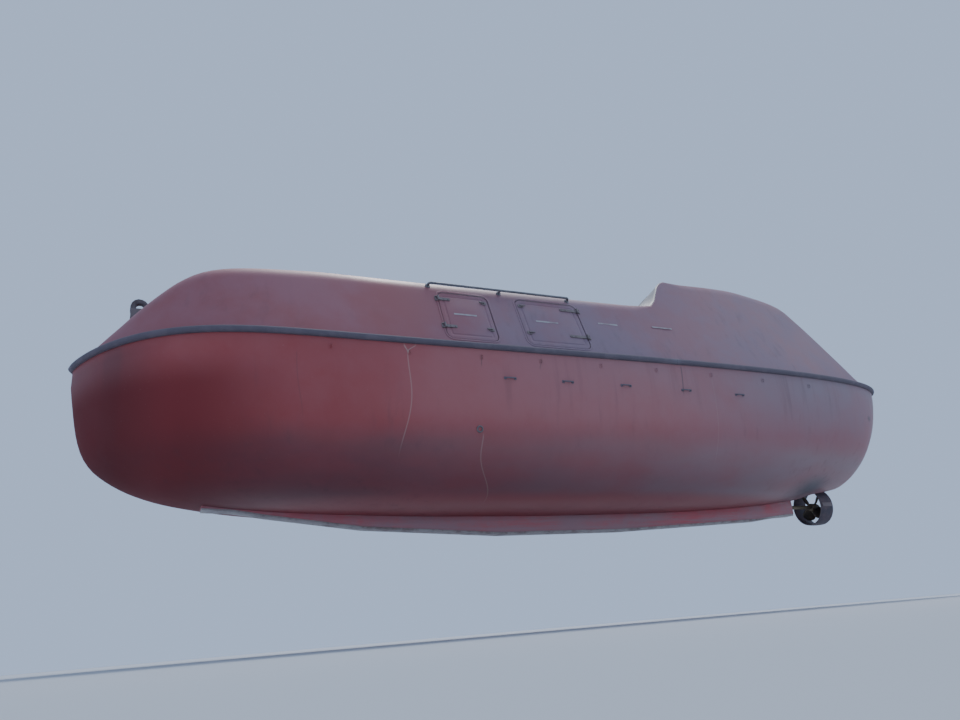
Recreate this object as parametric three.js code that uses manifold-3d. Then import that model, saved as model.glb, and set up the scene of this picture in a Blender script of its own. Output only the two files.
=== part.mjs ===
// Enclosed lifeboat, 11.3 m long, in millimetres.
// +X points to the bow, +Y to port and +Z up. The origin is amidships at the waterline.

import * as THREE from 'three';
import { mergeVertices } from 'three/addons/utils/BufferGeometryUtils.js';
import Module from 'manifold-3d';

const wasm = await Module();
wasm.setup();

// Driving dimensions

const GAP = 0.3;                  // left between two pieces that touch
const SEAT = 0.5;                 // the same along a curved skin
const RUNNING = 1 / Math.cos(Math.PI / 24);  // a 24-sided hole that clears a 24-sided shaft
const CLEAR = 10;                 // left round a door or hatch that swings

const BOW_X = 5690;               // hull at the gunwale, without the fender
const STERN_X = -5575;
const HALF_BEAM = 1555;
const FORE_BODY_X = 3000;         // the plan narrows forward of this
const AFT_BODY_X = 0;             // and aft of this
const GUNWALE_Z = 995;
const HULL_WALL = 70;
const CANOPY_WALL = 45;
const CANOPY_INSET = 35;          // canopy foot inside the hull's gunwale
const SIDE_TILT = THREE.MathUtils.degToRad(22);
const SHOULDER = 160;             // length of the rounding between side and roof

const FENDER_HEIGHT = 68;
const FENDER_DEPTH = 45;
const FENDER_Z = 1009;            // height of its middle

const KEEL_HALF_WIDTH = 95;
const SHOE_HEIGHT = 26;
const KEEL_FLAT_Z = -880;

const NOZZLE = { x: -4650, z: -598, length: 260, outer: 280, inner: 255 };
const TUNNEL_RADIUS = 350;
const STOCK_RADIUS = 32;
const STOCK_TOP = 240;
const PROP_RADIUS = 235;
const SHAFT_RADIUS = 28;
const SHAFT_FRONT_X = -3830;      // where the shaft ends inside the keel

const SOLE_Z = -140;
const SOLE_THICK = 50;
const BENCH_TOP_Z = 300;
const PLATFORM_Z = 560;

// Materials

const finish = {
  hullRed: { color: 0xb8381f, roughness: 0.45, metalness: 0 },
  canopyRed: { color: 0xd2492c, roughness: 0.42, metalness: 0 },
  fenderGrey: { color: 0x2b3540, roughness: 0.8, metalness: 0 },
  shoeGrey: { color: 0x9a9b98, roughness: 0.6, metalness: 0.4 },
  steel: { color: 0x9aa0a3, roughness: 0.35, metalness: 1 },
  bronze: { color: 0x9b7a45, roughness: 0.4, metalness: 1 },
  glass: { color: 0x9fb4bd, roughness: 0.08, metalness: 0 },
  liner: { color: 0xcfcfc6, roughness: 0.7, metalness: 0 },
  engineGreen: { color: 0x56625a, roughness: 0.6, metalness: 0.2 },
  seatBlack: { color: 0x1d1f21, roughness: 0.8, metalness: 0 },
};

const boat = new THREE.Group();

// Solid helpers

function solid(geometry) {
  const bare = geometry.clone();
  bare.deleteAttribute('normal');
  bare.deleteAttribute('uv');
  const merged = mergeVertices(bare, 1e-3);
  const index = merged.index.array;
  const position = merged.attributes.position;
  const corner = (k) => new THREE.Vector3().fromBufferAttribute(position, index[k]);
  let volume = 0;
  for (let t = 0; t < index.length; t += 3) {
    volume += corner(t).dot(corner(t + 1).cross(corner(t + 2)));
  }
  const triVerts = Uint32Array.from(index);
  if (volume < 0) {
    for (let t = 0; t < triVerts.length; t += 3) {
      [triVerts[t + 1], triVerts[t + 2]] = [triVerts[t + 2], triVerts[t + 1]];
    }
  }
  return new wasm.Manifold(new wasm.Mesh({
    numProp: 3,
    vertProperties: Float32Array.from(position.array),
    triVerts,
  }));
}

function geometryOf(body) {
  const mesh = body.getMesh();
  const geometry = new THREE.BufferGeometry();
  geometry.setAttribute('position', new THREE.BufferAttribute(mesh.vertProperties, 3));
  geometry.setIndex(new THREE.BufferAttribute(mesh.triVerts, 1));
  return geometry;
}

function add(name, body, material) {
  const mesh = new THREE.Mesh(geometryOf(body), new THREE.MeshStandardMaterial(finish[material]));
  mesh.name = name;
  boat.add(mesh);
  return body;
}

// the same piece on the other side of the centre plane
function mirrored(body) {
  return solid(geometryOf(body).applyMatrix4(new THREE.Matrix4().makeScale(1, -1, 1)));
}

// the solid with its skin moved out by a distance, or in where that is negative
function grown(body, distance) {
  const geometry = geometryOf(body);
  const index = geometry.index.array;
  const position = geometry.attributes.position;
  const normals = Array.from({ length: position.count }, () => new THREE.Vector3());
  const at = (k) => new THREE.Vector3().fromBufferAttribute(position, k);
  for (let t = 0; t < index.length; t += 3) {
    const corners = [at(index[t]), at(index[t + 1]), at(index[t + 2])];
    const face = new THREE.Triangle(...corners).getNormal(new THREE.Vector3());
    for (let k = 0; k < 3; k += 1) {
      const a = corners[(k + 1) % 3].clone().sub(corners[k]);
      const b = corners[(k + 2) % 3].clone().sub(corners[k]);
      normals[index[t + k]].addScaledVector(face, a.angleTo(b));
    }
  }
  normals.forEach((normal, k) => {
    const moved = at(k).addScaledVector(normal.normalize(), distance);
    position.setXYZ(k, moved.x, moved.y, moved.z);
  });
  return solid(geometry);
}

function box(x0, x1, y0, y1, z0, z1) {
  const geometry = new THREE.BoxGeometry(x1 - x0, y1 - y0, z1 - z0);
  geometry.translate((x0 + x1) / 2, (y0 + y1) / 2, (z0 + z1) / 2);
  return solid(geometry);
}

// a cylinder from one point to another
function rod(from, to, radius, sides = 20, endRadius = radius) {
  const a = new THREE.Vector3(...from);
  const b = new THREE.Vector3(...to);
  const along = b.clone().sub(a);
  const geometry = new THREE.CylinderGeometry(endRadius, radius, along.length(), sides);
  const turn = new THREE.Quaternion();
  turn.setFromUnitVectors(new THREE.Vector3(0, 1, 0), along.clone().normalize());
  geometry.applyQuaternion(turn);
  geometry.translate(...a.add(b).multiplyScalar(0.5).toArray());
  return solid(geometry);
}

// a flat outline of [u, v] points given a thickness along w, set in the frame of the matrix
function plate(outline, w0, w1, matrix) {
  const shape = outline instanceof THREE.Shape
    ? outline
    : new THREE.Shape(outline.map(([u, v]) => new THREE.Vector2(u, v)));
  const geometry = new THREE.ExtrudeGeometry(shape, {
    depth: w1 - w0,
    bevelEnabled: false,
    curveSegments: 4,
  });
  geometry.translate(0, 0, w0);
  geometry.applyMatrix4(matrix);
  return solid(geometry);
}

// side view outlines: u runs along X, v along Z and w along Y
const SIDE_VIEW = new THREE.Matrix4().makeBasis(
  new THREE.Vector3(1, 0, 0),
  new THREE.Vector3(0, 0, 1),
  new THREE.Vector3(0, 1, 0),
);

function roundedRect(u0, u1, v0, v1, r) {
  const shape = new THREE.Shape();
  shape.moveTo(u0 + r, v0);
  shape.lineTo(u1 - r, v0);
  shape.absarc(u1 - r, v0 + r, r, -Math.PI / 2, 0);
  shape.lineTo(u1, v1 - r);
  shape.absarc(u1 - r, v1 - r, r, 0, Math.PI / 2);
  shape.lineTo(u0 + r, v1);
  shape.absarc(u0 + r, v1 - r, r, Math.PI / 2, Math.PI);
  shape.lineTo(u0, v0 + r);
  shape.absarc(u0 + r, v0 + r, r, Math.PI, 1.5 * Math.PI);
  return shape;
}

// rings of [x, y, z] points, all of the same count, joined into one closed body,
// the faces split the same way on either half of the ring
function loft(rings) {
  const count = rings[0].length;
  const points = rings.flat();
  const triangles = [];
  for (let i = 0; i < rings.length - 1; i += 1) {
    for (let j = 0; j < count; j += 1) {
      const a = i * count + j;
      const b = i * count + ((j + 1) % count);
      if (j < (count - 1) / 2) triangles.push(a, b, b + count, a, b + count, a + count);
      else triangles.push(a, b, a + count, b, b + count, a + count);
    }
  }
  for (const [ring, flip] of [[0, true], [rings.length - 1, false]]) {
    const centre = new THREE.Vector3();
    for (const p of rings[ring]) centre.add(new THREE.Vector3(...p));
    centre.divideScalar(count);
    points.push(centre.toArray());
    const hub = points.length - 1;
    for (let j = 0; j < count; j += 1) {
      const a = ring * count + j;
      const b = ring * count + ((j + 1) % count);
      triangles.push(hub, flip ? b : a, flip ? a : b);
    }
  }
  const geometry = new THREE.BufferGeometry();
  geometry.setAttribute('position', new THREE.Float32BufferAttribute(points.flat(), 3));
  geometry.setIndex(triangles);
  return solid(geometry);
}

// The hull's plan: half the breadth at the gunwale at a station, drawn in by an inset

function halfBreadth(x, inset = 0) {
  const beam = HALF_BEAM - inset;
  if (x > FORE_BODY_X) {
    const s = Math.min((x - FORE_BODY_X) / (BOW_X - inset - FORE_BODY_X), 1);
    return beam * (1 - s ** 3.8) ** (1 / 1.2);
  }
  if (x < AFT_BODY_X) {
    const s = Math.min((AFT_BODY_X - x) / (AFT_BODY_X - STERN_X - inset), 1);
    return beam * (1 - s ** 2.6) ** 0.205;
  }
  return beam;
}

// a station on the whole hull carried to the same place on one drawn in by an inset
function shrinkX(x, inset) {
  const middle = (BOW_X + STERN_X) / 2;
  const half = (BOW_X - STERN_X) / 2;
  return middle + (x - middle) * (half - inset) / half;
}

// Hull sections: station, height of the bottom on the centre line,
// fullness of the section at the side and at the bottom
const hullSections = [
  [5688, 770, 1.6, 1.6],
  [5668, 640, 1.6, 1.6],
  [5645, 500, 1.7, 1.7],
  [5600, 270, 1.7, 1.7],
  [5530, 60, 1.8, 1.8],
  [5430, -90, 1.9, 1.9],
  [5280, -210, 2.0, 2.0],
  [5050, -330, 2.1, 2.1],
  [4750, -420, 2.3, 2.3],
  [4400, -480, 2.5, 2.5],
  [4000, -530, 2.7, 2.7],
  [3400, -580, 2.9, 2.9],
  [2600, -620, 3.1, 3.1],
  [1600, -650, 3.2, 3.2],
  [0, -665, 3.2, 3.2],
  [-1500, -655, 3.1, 3.1],
  [-2700, -620, 2.9, 2.9],
  [-3500, -570, 2.6, 2.6],
  [-4000, -520, 2.4, 2.5],
  [-4400, -470, 2.2, 2.5],
  [-4700, -430, 2.1, 2.4],
  [-5000, -370, 1.9, 2.3],
  [-5200, -270, 1.7, 2.1],
  [-5350, -180, 1.4, 1.8],
  [-5460, -60, 1.35, 1.7],
  [-5535, 150, 1.45, 1.7],
  [-5566, 400, 1.6, 1.8],
  [-5574, 640, 1.6, 1.8],
];
const HULL_RING_HALF = 11;

function hullSolid(inset, topZ) {
  const rings = hullSections.map(([station, bottom, sideFull, bottomFull]) => {
    const x = shrinkX(station, inset);
    const breadth = halfBreadth(x, inset);
    const ring = [];
    for (let k = -HULL_RING_HALF; k <= HULL_RING_HALF; k += 1) {
      const turn = (k / HULL_RING_HALF) * Math.PI / 2;
      const across = Math.sign(k) * Math.abs(Math.sin(turn)) ** (2 / sideFull);
      const up = 1 - Math.cos(turn) ** (2 / bottomFull);
      const low = bottom + inset;
      ring.push([x, breadth * across, low + (GUNWALE_Z - low) * up]);
    }
    if (topZ > GUNWALE_Z) {
      ring.push([x, breadth, topZ]);
      ring.unshift([x, -breadth, topZ]);
    }
    return ring;
  });
  return loft(rings);
}

// Canopy and cockpit sections: station, height of the shoulder, height of the roof amidships
const canopySections = [
  [5655, 1022, 1030],
  [5500, 1080, 1115],
  [5300, 1225, 1290],
  [5100, 1400, 1490],
  [4900, 1575, 1685],
  [4700, 1735, 1860],
  [4500, 1840, 1980],
  [4300, 1885, 2045],
  [4050, 1910, 2077],
  [3650, 1930, 2105],
  [3100, 1955, 2135],
  [2400, 1957, 2138],
  [1200, 1963, 2143],
  [-1240, 1990, 2170],
  [-1650, 2485, 2320],
  [-1760, 2535, 2400],
  [-2200, 2550, 2675],
  [-3050, 2570, 2745],
  [-3500, 2525, 2700],
  [-3900, 2460, 2620],
  [-4050, 2405, 2560],
  [-4200, 2225, 2380],
  [-4700, 1520, 1630],
  [-5050, 1125, 1185],
  [-5200, 1045, 1075],
  [-5460, 1035, 1050],
  [-5555, 1015, 1022],
];
const CROWN_POINTS = 5;

function canopySolid(inset, footZ) {
  const rings = canopySections.map(([station, shoulder, crown]) => {
    const x = shrinkX(station, inset);
    const drop = inset / Math.cos(SIDE_TILT);
    const foot = Math.max(halfBreadth(x, 0) - CANOPY_INSET - drop, 4);
    const lean = Math.tan(SIDE_TILT);
    const top = shoulder - inset;
    const mid = crown - inset;
    const edge = foot - Math.max(top - GUNWALE_Z, 0) * lean;
    const sideStart = [foot, GUNWALE_Z];
    const corner = [Math.max(edge, foot * 0.4), Math.max(top, GUNWALE_Z + 2 - inset)];
    const cut = Math.min(SHOULDER, (corner[1] - sideStart[1]) * 0.6, corner[0] * 0.4);
    const roofAt = (y) => corner[1] + (mid - corner[1]) * (1 - (y / corner[0]) ** 2);
    const sideDirection = new THREE.Vector2(sideStart[0] - corner[0], sideStart[1] - corner[1]);
    sideDirection.normalize();
    const before = [corner[0] + sideDirection.x * cut, corner[1] + sideDirection.y * cut];
    const after = [corner[0] - cut, roofAt(corner[0] - cut)];
    const half = [[foot, footZ]];
    if (footZ < GUNWALE_Z) half.push([foot, GUNWALE_Z]);
    half.push(before);
    for (const t of [0.25, 0.5, 0.75]) {
      half.push([
        (1 - t) ** 2 * before[0] + 2 * t * (1 - t) * corner[0] + t * t * after[0],
        (1 - t) ** 2 * before[1] + 2 * t * (1 - t) * corner[1] + t * t * after[1],
      ]);
    }
    for (let k = 0; k < CROWN_POINTS; k += 1) {
      const y = after[0] * (1 - k / CROWN_POINTS);
      half.push([y, roofAt(y)]);
    }
    const ring = half.map(([y, z]) => [x, y, z]);
    ring.push([x, 0, mid]);
    for (const [y, z] of half.slice().reverse()) ring.push([x, -y, z]);
    return ring;
  });
  return loft(rings);
}

// The frame of a panel in the canopy's port side: u aft along the side, v up its slope, w outwards

function sideFrame(x, z, forward) {
  const y = HALF_BEAM - CANOPY_INSET - (z - GUNWALE_Z) * Math.tan(SIDE_TILT);
  const u = new THREE.Vector3(forward ? 1 : -1, 0, 0);
  const v = new THREE.Vector3(0, -Math.sin(SIDE_TILT), Math.cos(SIDE_TILT));
  const w = new THREE.Vector3(0, Math.cos(SIDE_TILT), Math.sin(SIDE_TILT));
  return new THREE.Matrix4().makeBasis(u, v, w).setPosition(x, y, z);
}

// Outer moulding and what is cut from it

const canopyOuter = canopySolid(0, GUNWALE_Z + GAP);
const canopySkin = canopyOuter.subtract(canopySolid(CANOPY_WALL, GUNWALE_Z - 300));
let canopy = canopySkin;

// Side doors: name, hinge edge station, true when it opens towards the bow, width,
// heights of the foot and of the top on the side's slope, heights of the two hinges
const sideDoors = [
  ['fwd', 1905, true, 650, 130, 880, [0.25, 0.84]],
  ['aft', 10, false, 870, 130, 900, [0.26, 0.85]],
];
const HINGE_OUT = 20;
const EYE_RADIUS = 13;
const DOOR_CORNER = 90;

function hingeParts(frame, places, sink) {
  let arms = null;
  let lugs = null;
  for (const v of places) {
    const strap = plate([[24, v - 22], [170, v - 16], [170, v + 16], [24, v + 22]],
      -sink, HINGE_OUT - 6, frame);
    const neck = plate([[0, v - 22], [40, v - 22], [40, v + 22], [0, v + 22]],
      HINGE_OUT - 12, HINGE_OUT - 6, frame);
    const knuckle = rodIn(frame, [0, v - 22, HINGE_OUT], [0, v + 22, HINGE_OUT], EYE_RADIUS, 8);
    const arm = strap.add(neck).add(knuckle);
    arms = arms ? arms.add(arm) : arm;
    for (const side of [-1, 1]) {
      const near = v + side * (22 + GAP);
      const far = v + side * (22 + GAP + 14);
      const low = Math.min(near, far);
      const high = Math.max(near, far);
      const lug = plate([[-46, low], [EYE_RADIUS, low], [EYE_RADIUS, high], [-46, high]],
        -sink, HINGE_OUT + EYE_RADIUS, frame).subtract(plate(
        [[-2, low - 1], [EYE_RADIUS + 1, low - 1], [EYE_RADIUS + 1, high + 1], [-2, high + 1]],
        -sink - 1, HINGE_OUT - EYE_RADIUS, frame,
      ));
      lugs = lugs ? lugs.add(lug) : lug;
    }
  }
  return { arms, lugs };
}

function rodIn(frame, from, to, radius, sides = 12) {
  const a = new THREE.Vector3(...from).applyMatrix4(frame);
  const b = new THREE.Vector3(...to).applyMatrix4(frame);
  return rod(a.toArray(), b.toArray(), radius, sides);
}

const doorBodies = [];
for (const [name, station, towardsBow, width, low, high, hinges] of sideDoors) {
  // u runs from the hinge edge into the door
  const frame = sideFrame(station, GUNWALE_Z, !towardsBow);
  const opening = plate(roundedRect(0, width, low, high, DOOR_CORNER), -120, 120, frame);
  const leaf = plate(
    roundedRect(CLEAR, width - CLEAR, low + CLEAR, high - CLEAR, DOOR_CORNER - CLEAR),
    -120, 120, frame,
  );
  const places = hinges.map((share) => low + (high - low) * share);
  const { arms, lugs } = hingeParts(frame, places, 8);
  let door = canopySkin.intersect(leaf).add(arms);
  for (const v of places) {
    const handle = plate(
      [[width - 95, v - 18], [width - 32, v - 18], [width - 32, v + 18], [width - 95, v + 18]],
      -10, 22, frame,
    );
    door = door.add(handle);
  }
  canopy = canopy.subtract(opening).subtract(mirrored(opening));
  canopy = canopy.add(lugs).add(mirrored(lugs));
  doorBodies.push([name, door]);
}
for (const [name, door] of doorBodies) {
  add(`door_port_${name}`, door, 'canopyRed');
  add(`door_stbd_${name}`, mirrored(door), 'canopyRed');
}

// A panel frame on a sloping or level face on the centre line: u across, v up the slope, w outwards

function centreFrame(x, z, pitch) {
  const u = new THREE.Vector3(0, pitch < 0 ? -1 : 1, 0);
  const w = new THREE.Vector3(Math.sin(pitch), 0, Math.cos(pitch));
  const v = new THREE.Vector3().crossVectors(w, u);
  return new THREE.Matrix4().makeBasis(u, v, w).setPosition(x, 0, z);
}

// Slopes of the cockpit's front and of the faces that carry a hatch
const FRONT_PITCH = Math.atan2(490, 410);
const BOW_HATCH_PITCH = Math.atan2(295, 400);
const ROOF_HATCH_PITCH = Math.atan2(70, 850);
const AFT_HATCH_PITCH = Math.atan2(750, 500);

// Front windows of the cockpit: edges across, edges up the slope
const frontFrame = centreFrame(-1450, 2340, FRONT_PITCH);
const frontWindows = [
  ['port', 40, 620],
  ['stbd', -620, -40],
];
const WINDOW_V = [-215, 215];
const glassShell = canopySolid(14, GUNWALE_Z).subtract(canopySolid(24, GUNWALE_Z - 300));
for (const [name, u0, u1] of frontWindows) {
  const hole = plate(roundedRect(u0, u1, ...WINDOW_V, 60), -260, 200, frontFrame);
  const pane = plate(
    roundedRect(u0 + GAP, u1 - GAP, WINDOW_V[0] + GAP, WINDOW_V[1] - GAP, 60),
    -260, 200, frontFrame,
  );
  canopy = canopy.subtract(hole);
  add(`window_front_${name}`, glassShell.intersect(pane), 'glass');
}

// Hatches on the centre line, hinged on the edge up the slope:
// name, frame, half width, half length up the slope
const hatches = [
  ['hatch_bow', centreFrame(4700, 1860, BOW_HATCH_PITCH), 270, 240],
  ['hatch_cockpit', centreFrame(-2500, 2700, ROOF_HATCH_PITCH), 290, 290],
  ['hatch_aft', centreFrame(-4440, 2020, -AFT_HATCH_PITCH), 270, 240],
];
for (const [name, frame, half, length] of hatches) {
  const hole = plate(roundedRect(-half, half, -length, length, 80), -200, 120, frame);
  const leaf = plate(
    roundedRect(-half + CLEAR, half - CLEAR, -length + CLEAR, length - CLEAR, 70),
    -200, 120, frame,
  );
  const swing = new THREE.Matrix4().makeRotationZ(-Math.PI / 2).setPosition(0, length, 0);
  const places = [-0.55 * half, 0.55 * half];
  const { arms, lugs } = hingeParts(frame.clone().multiply(swing), places, 32);
  add(name, canopySkin.intersect(leaf).add(arms), 'canopyRed');
  canopy = canopy.subtract(hole).add(lugs);
}

add('canopy', canopy, 'canopyRed');

// Hull shell with its tunnel over the nozzle and the holes for stock and shaft

const tunnel = (radius, frontX) => rod(
  [frontX, 0, NOZZLE.z],
  [STERN_X - 200, 0, NOZZLE.z],
  radius,
  32,
);
const hullOuter = hullSolid(0, GUNWALE_Z).subtract(tunnel(TUNNEL_RADIUS, NOZZLE.x + 400));
const hullInner = hullSolid(HULL_WALL, GUNWALE_Z + 300)
  .subtract(tunnel(TUNNEL_RADIUS + HULL_WALL, NOZZLE.x + 400 + HULL_WALL));
const stockHole = rod(
  [NOZZLE.x, 0, NOZZLE.z],
  [NOZZLE.x, 0, STOCK_TOP + 60],
  RUNNING * STOCK_RADIUS + GAP, 24,
);
const trunk = rod(
  [NOZZLE.x, 0, NOZZLE.z + TUNNEL_RADIUS + 20],
  [NOZZLE.x, 0, STOCK_TOP - 30],
  62, 24,
);
const shaftHole = rod(
  [SHAFT_FRONT_X + 30, 0, NOZZLE.z],
  [NOZZLE.x, 0, NOZZLE.z],
  RUNNING * SHAFT_RADIUS + GAP, 24,
);
const hull = hullOuter.subtract(hullInner).add(trunk).subtract(stockHole);

// Keel: station and height of its under side, then the shoe along its foot
const KEEL_AFT_X = -4120;
const keelUnderside = [
  [4330, -540],
  [4000, -560],
  [3650, -620],
  [3190, -688],
  [2550, -772],
  [1600, -838],
  [800, KEEL_FLAT_Z],
  [-1000, KEEL_FLAT_Z],
  [-2300, -826],
  [-3400, -790],
  [-3850, -742],
  [KEEL_AFT_X, -730],
];
const keelTop = [[KEEL_AFT_X, -350], [4330, -350]];
const keelSide = keelUnderside.map(([x, z]) => [x, z + SHOE_HEIGHT + GAP]);
const keelBlock = plate(
  [...keelSide, ...keelTop],
  -KEEL_HALF_WIDTH, KEEL_HALF_WIDTH, SIDE_VIEW,
);
const hullCut = grown(hullOuter, SEAT);
const keel = keelBlock.subtract(hullCut).subtract(shaftHole);
const shoeBlock = plate(
  [...keelUnderside, ...keelSide.slice().reverse().map(([x, z]) => [x, z - GAP])],
  -KEEL_HALF_WIDTH + 6, KEEL_HALF_WIDTH - 6, SIDE_VIEW,
);
add('keel', keel, 'hullRed');
add('keel_shoe', shoeBlock.subtract(hullCut), 'shoeGrey');
add('hull', hull.subtract(shaftHole), 'hullRed');

// Fender: a D section run round the gunwale in four lengths, their stations from bow to stern
const foreStations = [5655, 5560, 5400, 5150, 4850, 4450, 4000, 3500, 3000, 1500, 0, -1150];
const aftStations = [-1154, -2200, -3200, -4000, -4600, -5000, -5300, -5480];
const FENDER_SECTION = [
  [GAP, -1], [0.55, -1], [0.9, -0.66], [1, 0], [0.9, 0.66], [0.55, 1], [GAP, 1],
];

function gunwalePoint(x) {
  const y = halfBreadth(x);
  const step = 4;
  const slope = (halfBreadth(Math.min(x + step, BOW_X)) - halfBreadth(x - step)) / (2 * step);
  const out = new THREE.Vector2(-slope, 1).normalize();
  return { y, out };
}

function fenderLength(stations, endPoint) {
  const centreline = stations.map((x) => {
    const { y, out } = gunwalePoint(x);
    return { at: new THREE.Vector2(x, y), out };
  });
  if (endPoint) {
    const [index, at, out] = endPoint;
    centreline.splice(index < 0 ? centreline.length : index, 0, { at, out });
  }
  const rings = centreline.map(({ at, out }) => FENDER_SECTION.map(([depth, up]) => {
    const reach = depth === GAP ? GAP : depth * FENDER_DEPTH;
    return [
      at.x + out.x * reach,
      at.y + out.y * reach,
      FENDER_Z + up * FENDER_HEIGHT / 2,
    ];
  }));
  return loft(rings);
}

const bowEnd = [0, new THREE.Vector2(BOW_X, GAP + 1), new THREE.Vector2(1, 0)];
const sternEnd = [-1, new THREE.Vector2(STERN_X, GAP + 1), new THREE.Vector2(-1, 0)];
const canopyCut = grown(canopyOuter, SEAT);
const fenderFore = fenderLength(foreStations, bowEnd).subtract(hullCut).subtract(canopyCut);
const fenderAft = fenderLength(aftStations, sternEnd).subtract(hullCut).subtract(canopyCut);
add('fender_port_fore', fenderFore, 'fenderGrey');
add('fender_stbd_fore', mirrored(fenderFore), 'fenderGrey');
add('fender_port_aft', fenderAft, 'fenderGrey');
add('fender_stbd_aft', mirrored(fenderAft), 'fenderGrey');

// Grab rails along the roof edge over the doors: ends, middle post and height off the shoulder
const RAIL = { x0: 90, x1: 1990, mid: 1060, v: 975, w: 50, radius: 15 };
const railFrame = sideFrame(0, GUNWALE_Z, true);
let rail = rodIn(railFrame, [RAIL.x0, RAIL.v, RAIL.w], [RAIL.x1, RAIL.v, RAIL.w], RAIL.radius, 10);
for (const u of [RAIL.x0 + RAIL.radius, RAIL.mid, RAIL.x1 - RAIL.radius]) {
  rail = rail.add(rodIn(railFrame, [u, RAIL.v, RAIL.w], [u, RAIL.v, -60], RAIL.radius, 10));
  rail = rail.add(rodIn(railFrame, [u, RAIL.v, -60], [u, RAIL.v, 8], 38, 14));
}
rail = rail.subtract(canopyCut);
add('rail_port', rail, 'steel');
add('rail_stbd', mirrored(rail), 'steel');

// Steering nozzle with its stock, and the propeller on its shaft

const nozzleProfile = [
  [NOZZLE.inner + 6, -NOZZLE.length / 2],
  [NOZZLE.outer - 18, -NOZZLE.length / 2],
  [NOZZLE.outer - 4, 0],
  [NOZZLE.outer - 4, NOZZLE.length / 2 - 60],
  [NOZZLE.outer - 12, NOZZLE.length / 2 - 10],
  [NOZZLE.inner + 14, NOZZLE.length / 2],
  [NOZZLE.inner, NOZZLE.length / 2 - 50],
  [NOZZLE.inner, 0],
];
const ringGeometry = new THREE.LatheGeometry(
  [...nozzleProfile, nozzleProfile[0]].map(([r, y]) => new THREE.Vector2(r, y)),
  28,
);
ringGeometry.rotateZ(-Math.PI / 2);
ringGeometry.translate(NOZZLE.x, 0, NOZZLE.z);
const nozzleTop = NOZZLE.z + NOZZLE.outer - 12;
const stock = rod([NOZZLE.x, 0, nozzleTop], [NOZZLE.x, 0, STOCK_TOP], STOCK_RADIUS, 24)
  .add(rod([NOZZLE.x, 0, nozzleTop], [NOZZLE.x, 0, nozzleTop + 40], 60, 24));
const tiller = box(NOZZLE.x - 30, NOZZLE.x + 260, -22, 22, STOCK_TOP - 24, STOCK_TOP + 16);
add('steering_nozzle', solid(ringGeometry).add(stock).add(tiller), 'steel');

const BLADES = 4;
const hub = rod([NOZZLE.x - 60, 0, NOZZLE.z], [NOZZLE.x + 60, 0, NOZZLE.z], 58, 24)
  .add(rod([NOZZLE.x - 58, 0, NOZZLE.z], [NOZZLE.x - 130, 0, NOZZLE.z], 56, 24, 14));
let propeller = hub.add(
  rod([NOZZLE.x + 50, 0, NOZZLE.z], [SHAFT_FRONT_X, 0, NOZZLE.z], SHAFT_RADIUS, 24),
);
for (let i = 0; i < BLADES; i += 1) {
  const blade = new THREE.Shape();
  blade.moveTo(-28, 40);
  blade.quadraticCurveTo(-105, 145, -62, PROP_RADIUS - 18);
  blade.quadraticCurveTo(0, PROP_RADIUS + 14, 62, PROP_RADIUS - 18);
  blade.quadraticCurveTo(105, 145, 28, 40);
  const spread = new THREE.Matrix4().makeRotationX((i / BLADES) * 2 * Math.PI + Math.PI / 4);
  const stand = new THREE.Matrix4().makeBasis(
    new THREE.Vector3(0, 1, 0),
    new THREE.Vector3(0, 0, 1),
    new THREE.Vector3(1, 0, 0),
  );
  const turnBlade = new THREE.Matrix4().makeRotationZ(THREE.MathUtils.degToRad(34));
  const frame = new THREE.Matrix4().makeTranslation(NOZZLE.x, 0, NOZZLE.z)
    .multiply(spread).multiply(turnBlade).multiply(stand);
  propeller = propeller.add(plate(blade, -7, 7, frame));
}
const disc = rod(
  [NOZZLE.x - 140, 0, NOZZLE.z],
  [SHAFT_FRONT_X + 10, 0, NOZZLE.z],
  PROP_RADIUS, 48,
);
propeller = propeller.intersect(disc);
add('propeller', propeller, 'bronze');

// Inside: sole, benches, engine, helm platform, seat, console and wheel

const room = grown(hullInner, -SEAT);
const sole = box(-3900, 4700, -1500, 1500, SOLE_Z - SOLE_THICK, SOLE_Z).intersect(room);
add('sole', sole, 'liner');
const bench = box(-3500, 4300, 900, 1500, SOLE_Z + GAP, BENCH_TOP_Z).intersect(room);
add('bench_port', bench, 'liner');
add('bench_stbd', mirrored(bench), 'liner');
add('engine', box(-3350, -2350, -320, 320, SOLE_Z + GAP, SOLE_Z + 620), 'engineGreen');
const platform = box(-3560, -1700, -560, 560, PLATFORM_Z - 50, PLATFORM_Z)
  .add(box(-3560, -1700, -560, -500, SOLE_Z + GAP, PLATFORM_Z))
  .add(box(-3560, -1700, 500, 560, SOLE_Z + GAP, PLATFORM_Z));
add('helm_platform', platform, 'liner');
const seat = rod([-2900, 0, PLATFORM_Z + GAP], [-2900, 0, 1300], 60, 20)
  .add(rod([-2900, 0, PLATFORM_Z + GAP], [-2900, 0, PLATFORM_Z + 20], 170, 24))
  .add(box(-3130, -2660, -240, 240, 1270, 1370))
  .add(box(-3190, -3100, -240, 240, 1270, 1900));
add('helm_seat', seat, 'seatBlack');
const consoleOutline = [
  [-1760, PLATFORM_Z + GAP],
  [-2080, PLATFORM_Z + GAP],
  [-2080, 1280],
  [-2140, 1500],
  [-1900, 1640],
  [-1760, 1640],
];
const consoleBlock = plate(consoleOutline, -420, 420, SIDE_VIEW);
add('helm_console', consoleBlock, 'liner');
const wheelGeometry = new THREE.TorusGeometry(175, 13, 6, 20);
const wheelFrame = new THREE.Matrix4().makeRotationY(THREE.MathUtils.degToRad(-75));
wheelGeometry.applyMatrix4(wheelFrame);
wheelGeometry.translate(-2300, 0, 1430);
let wheel = solid(wheelGeometry);
const wheelHub = rod([-2330, 0, 1422], [-2110 - GAP, 0, 1480], 26, 16);
wheel = wheel.add(wheelHub);
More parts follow.
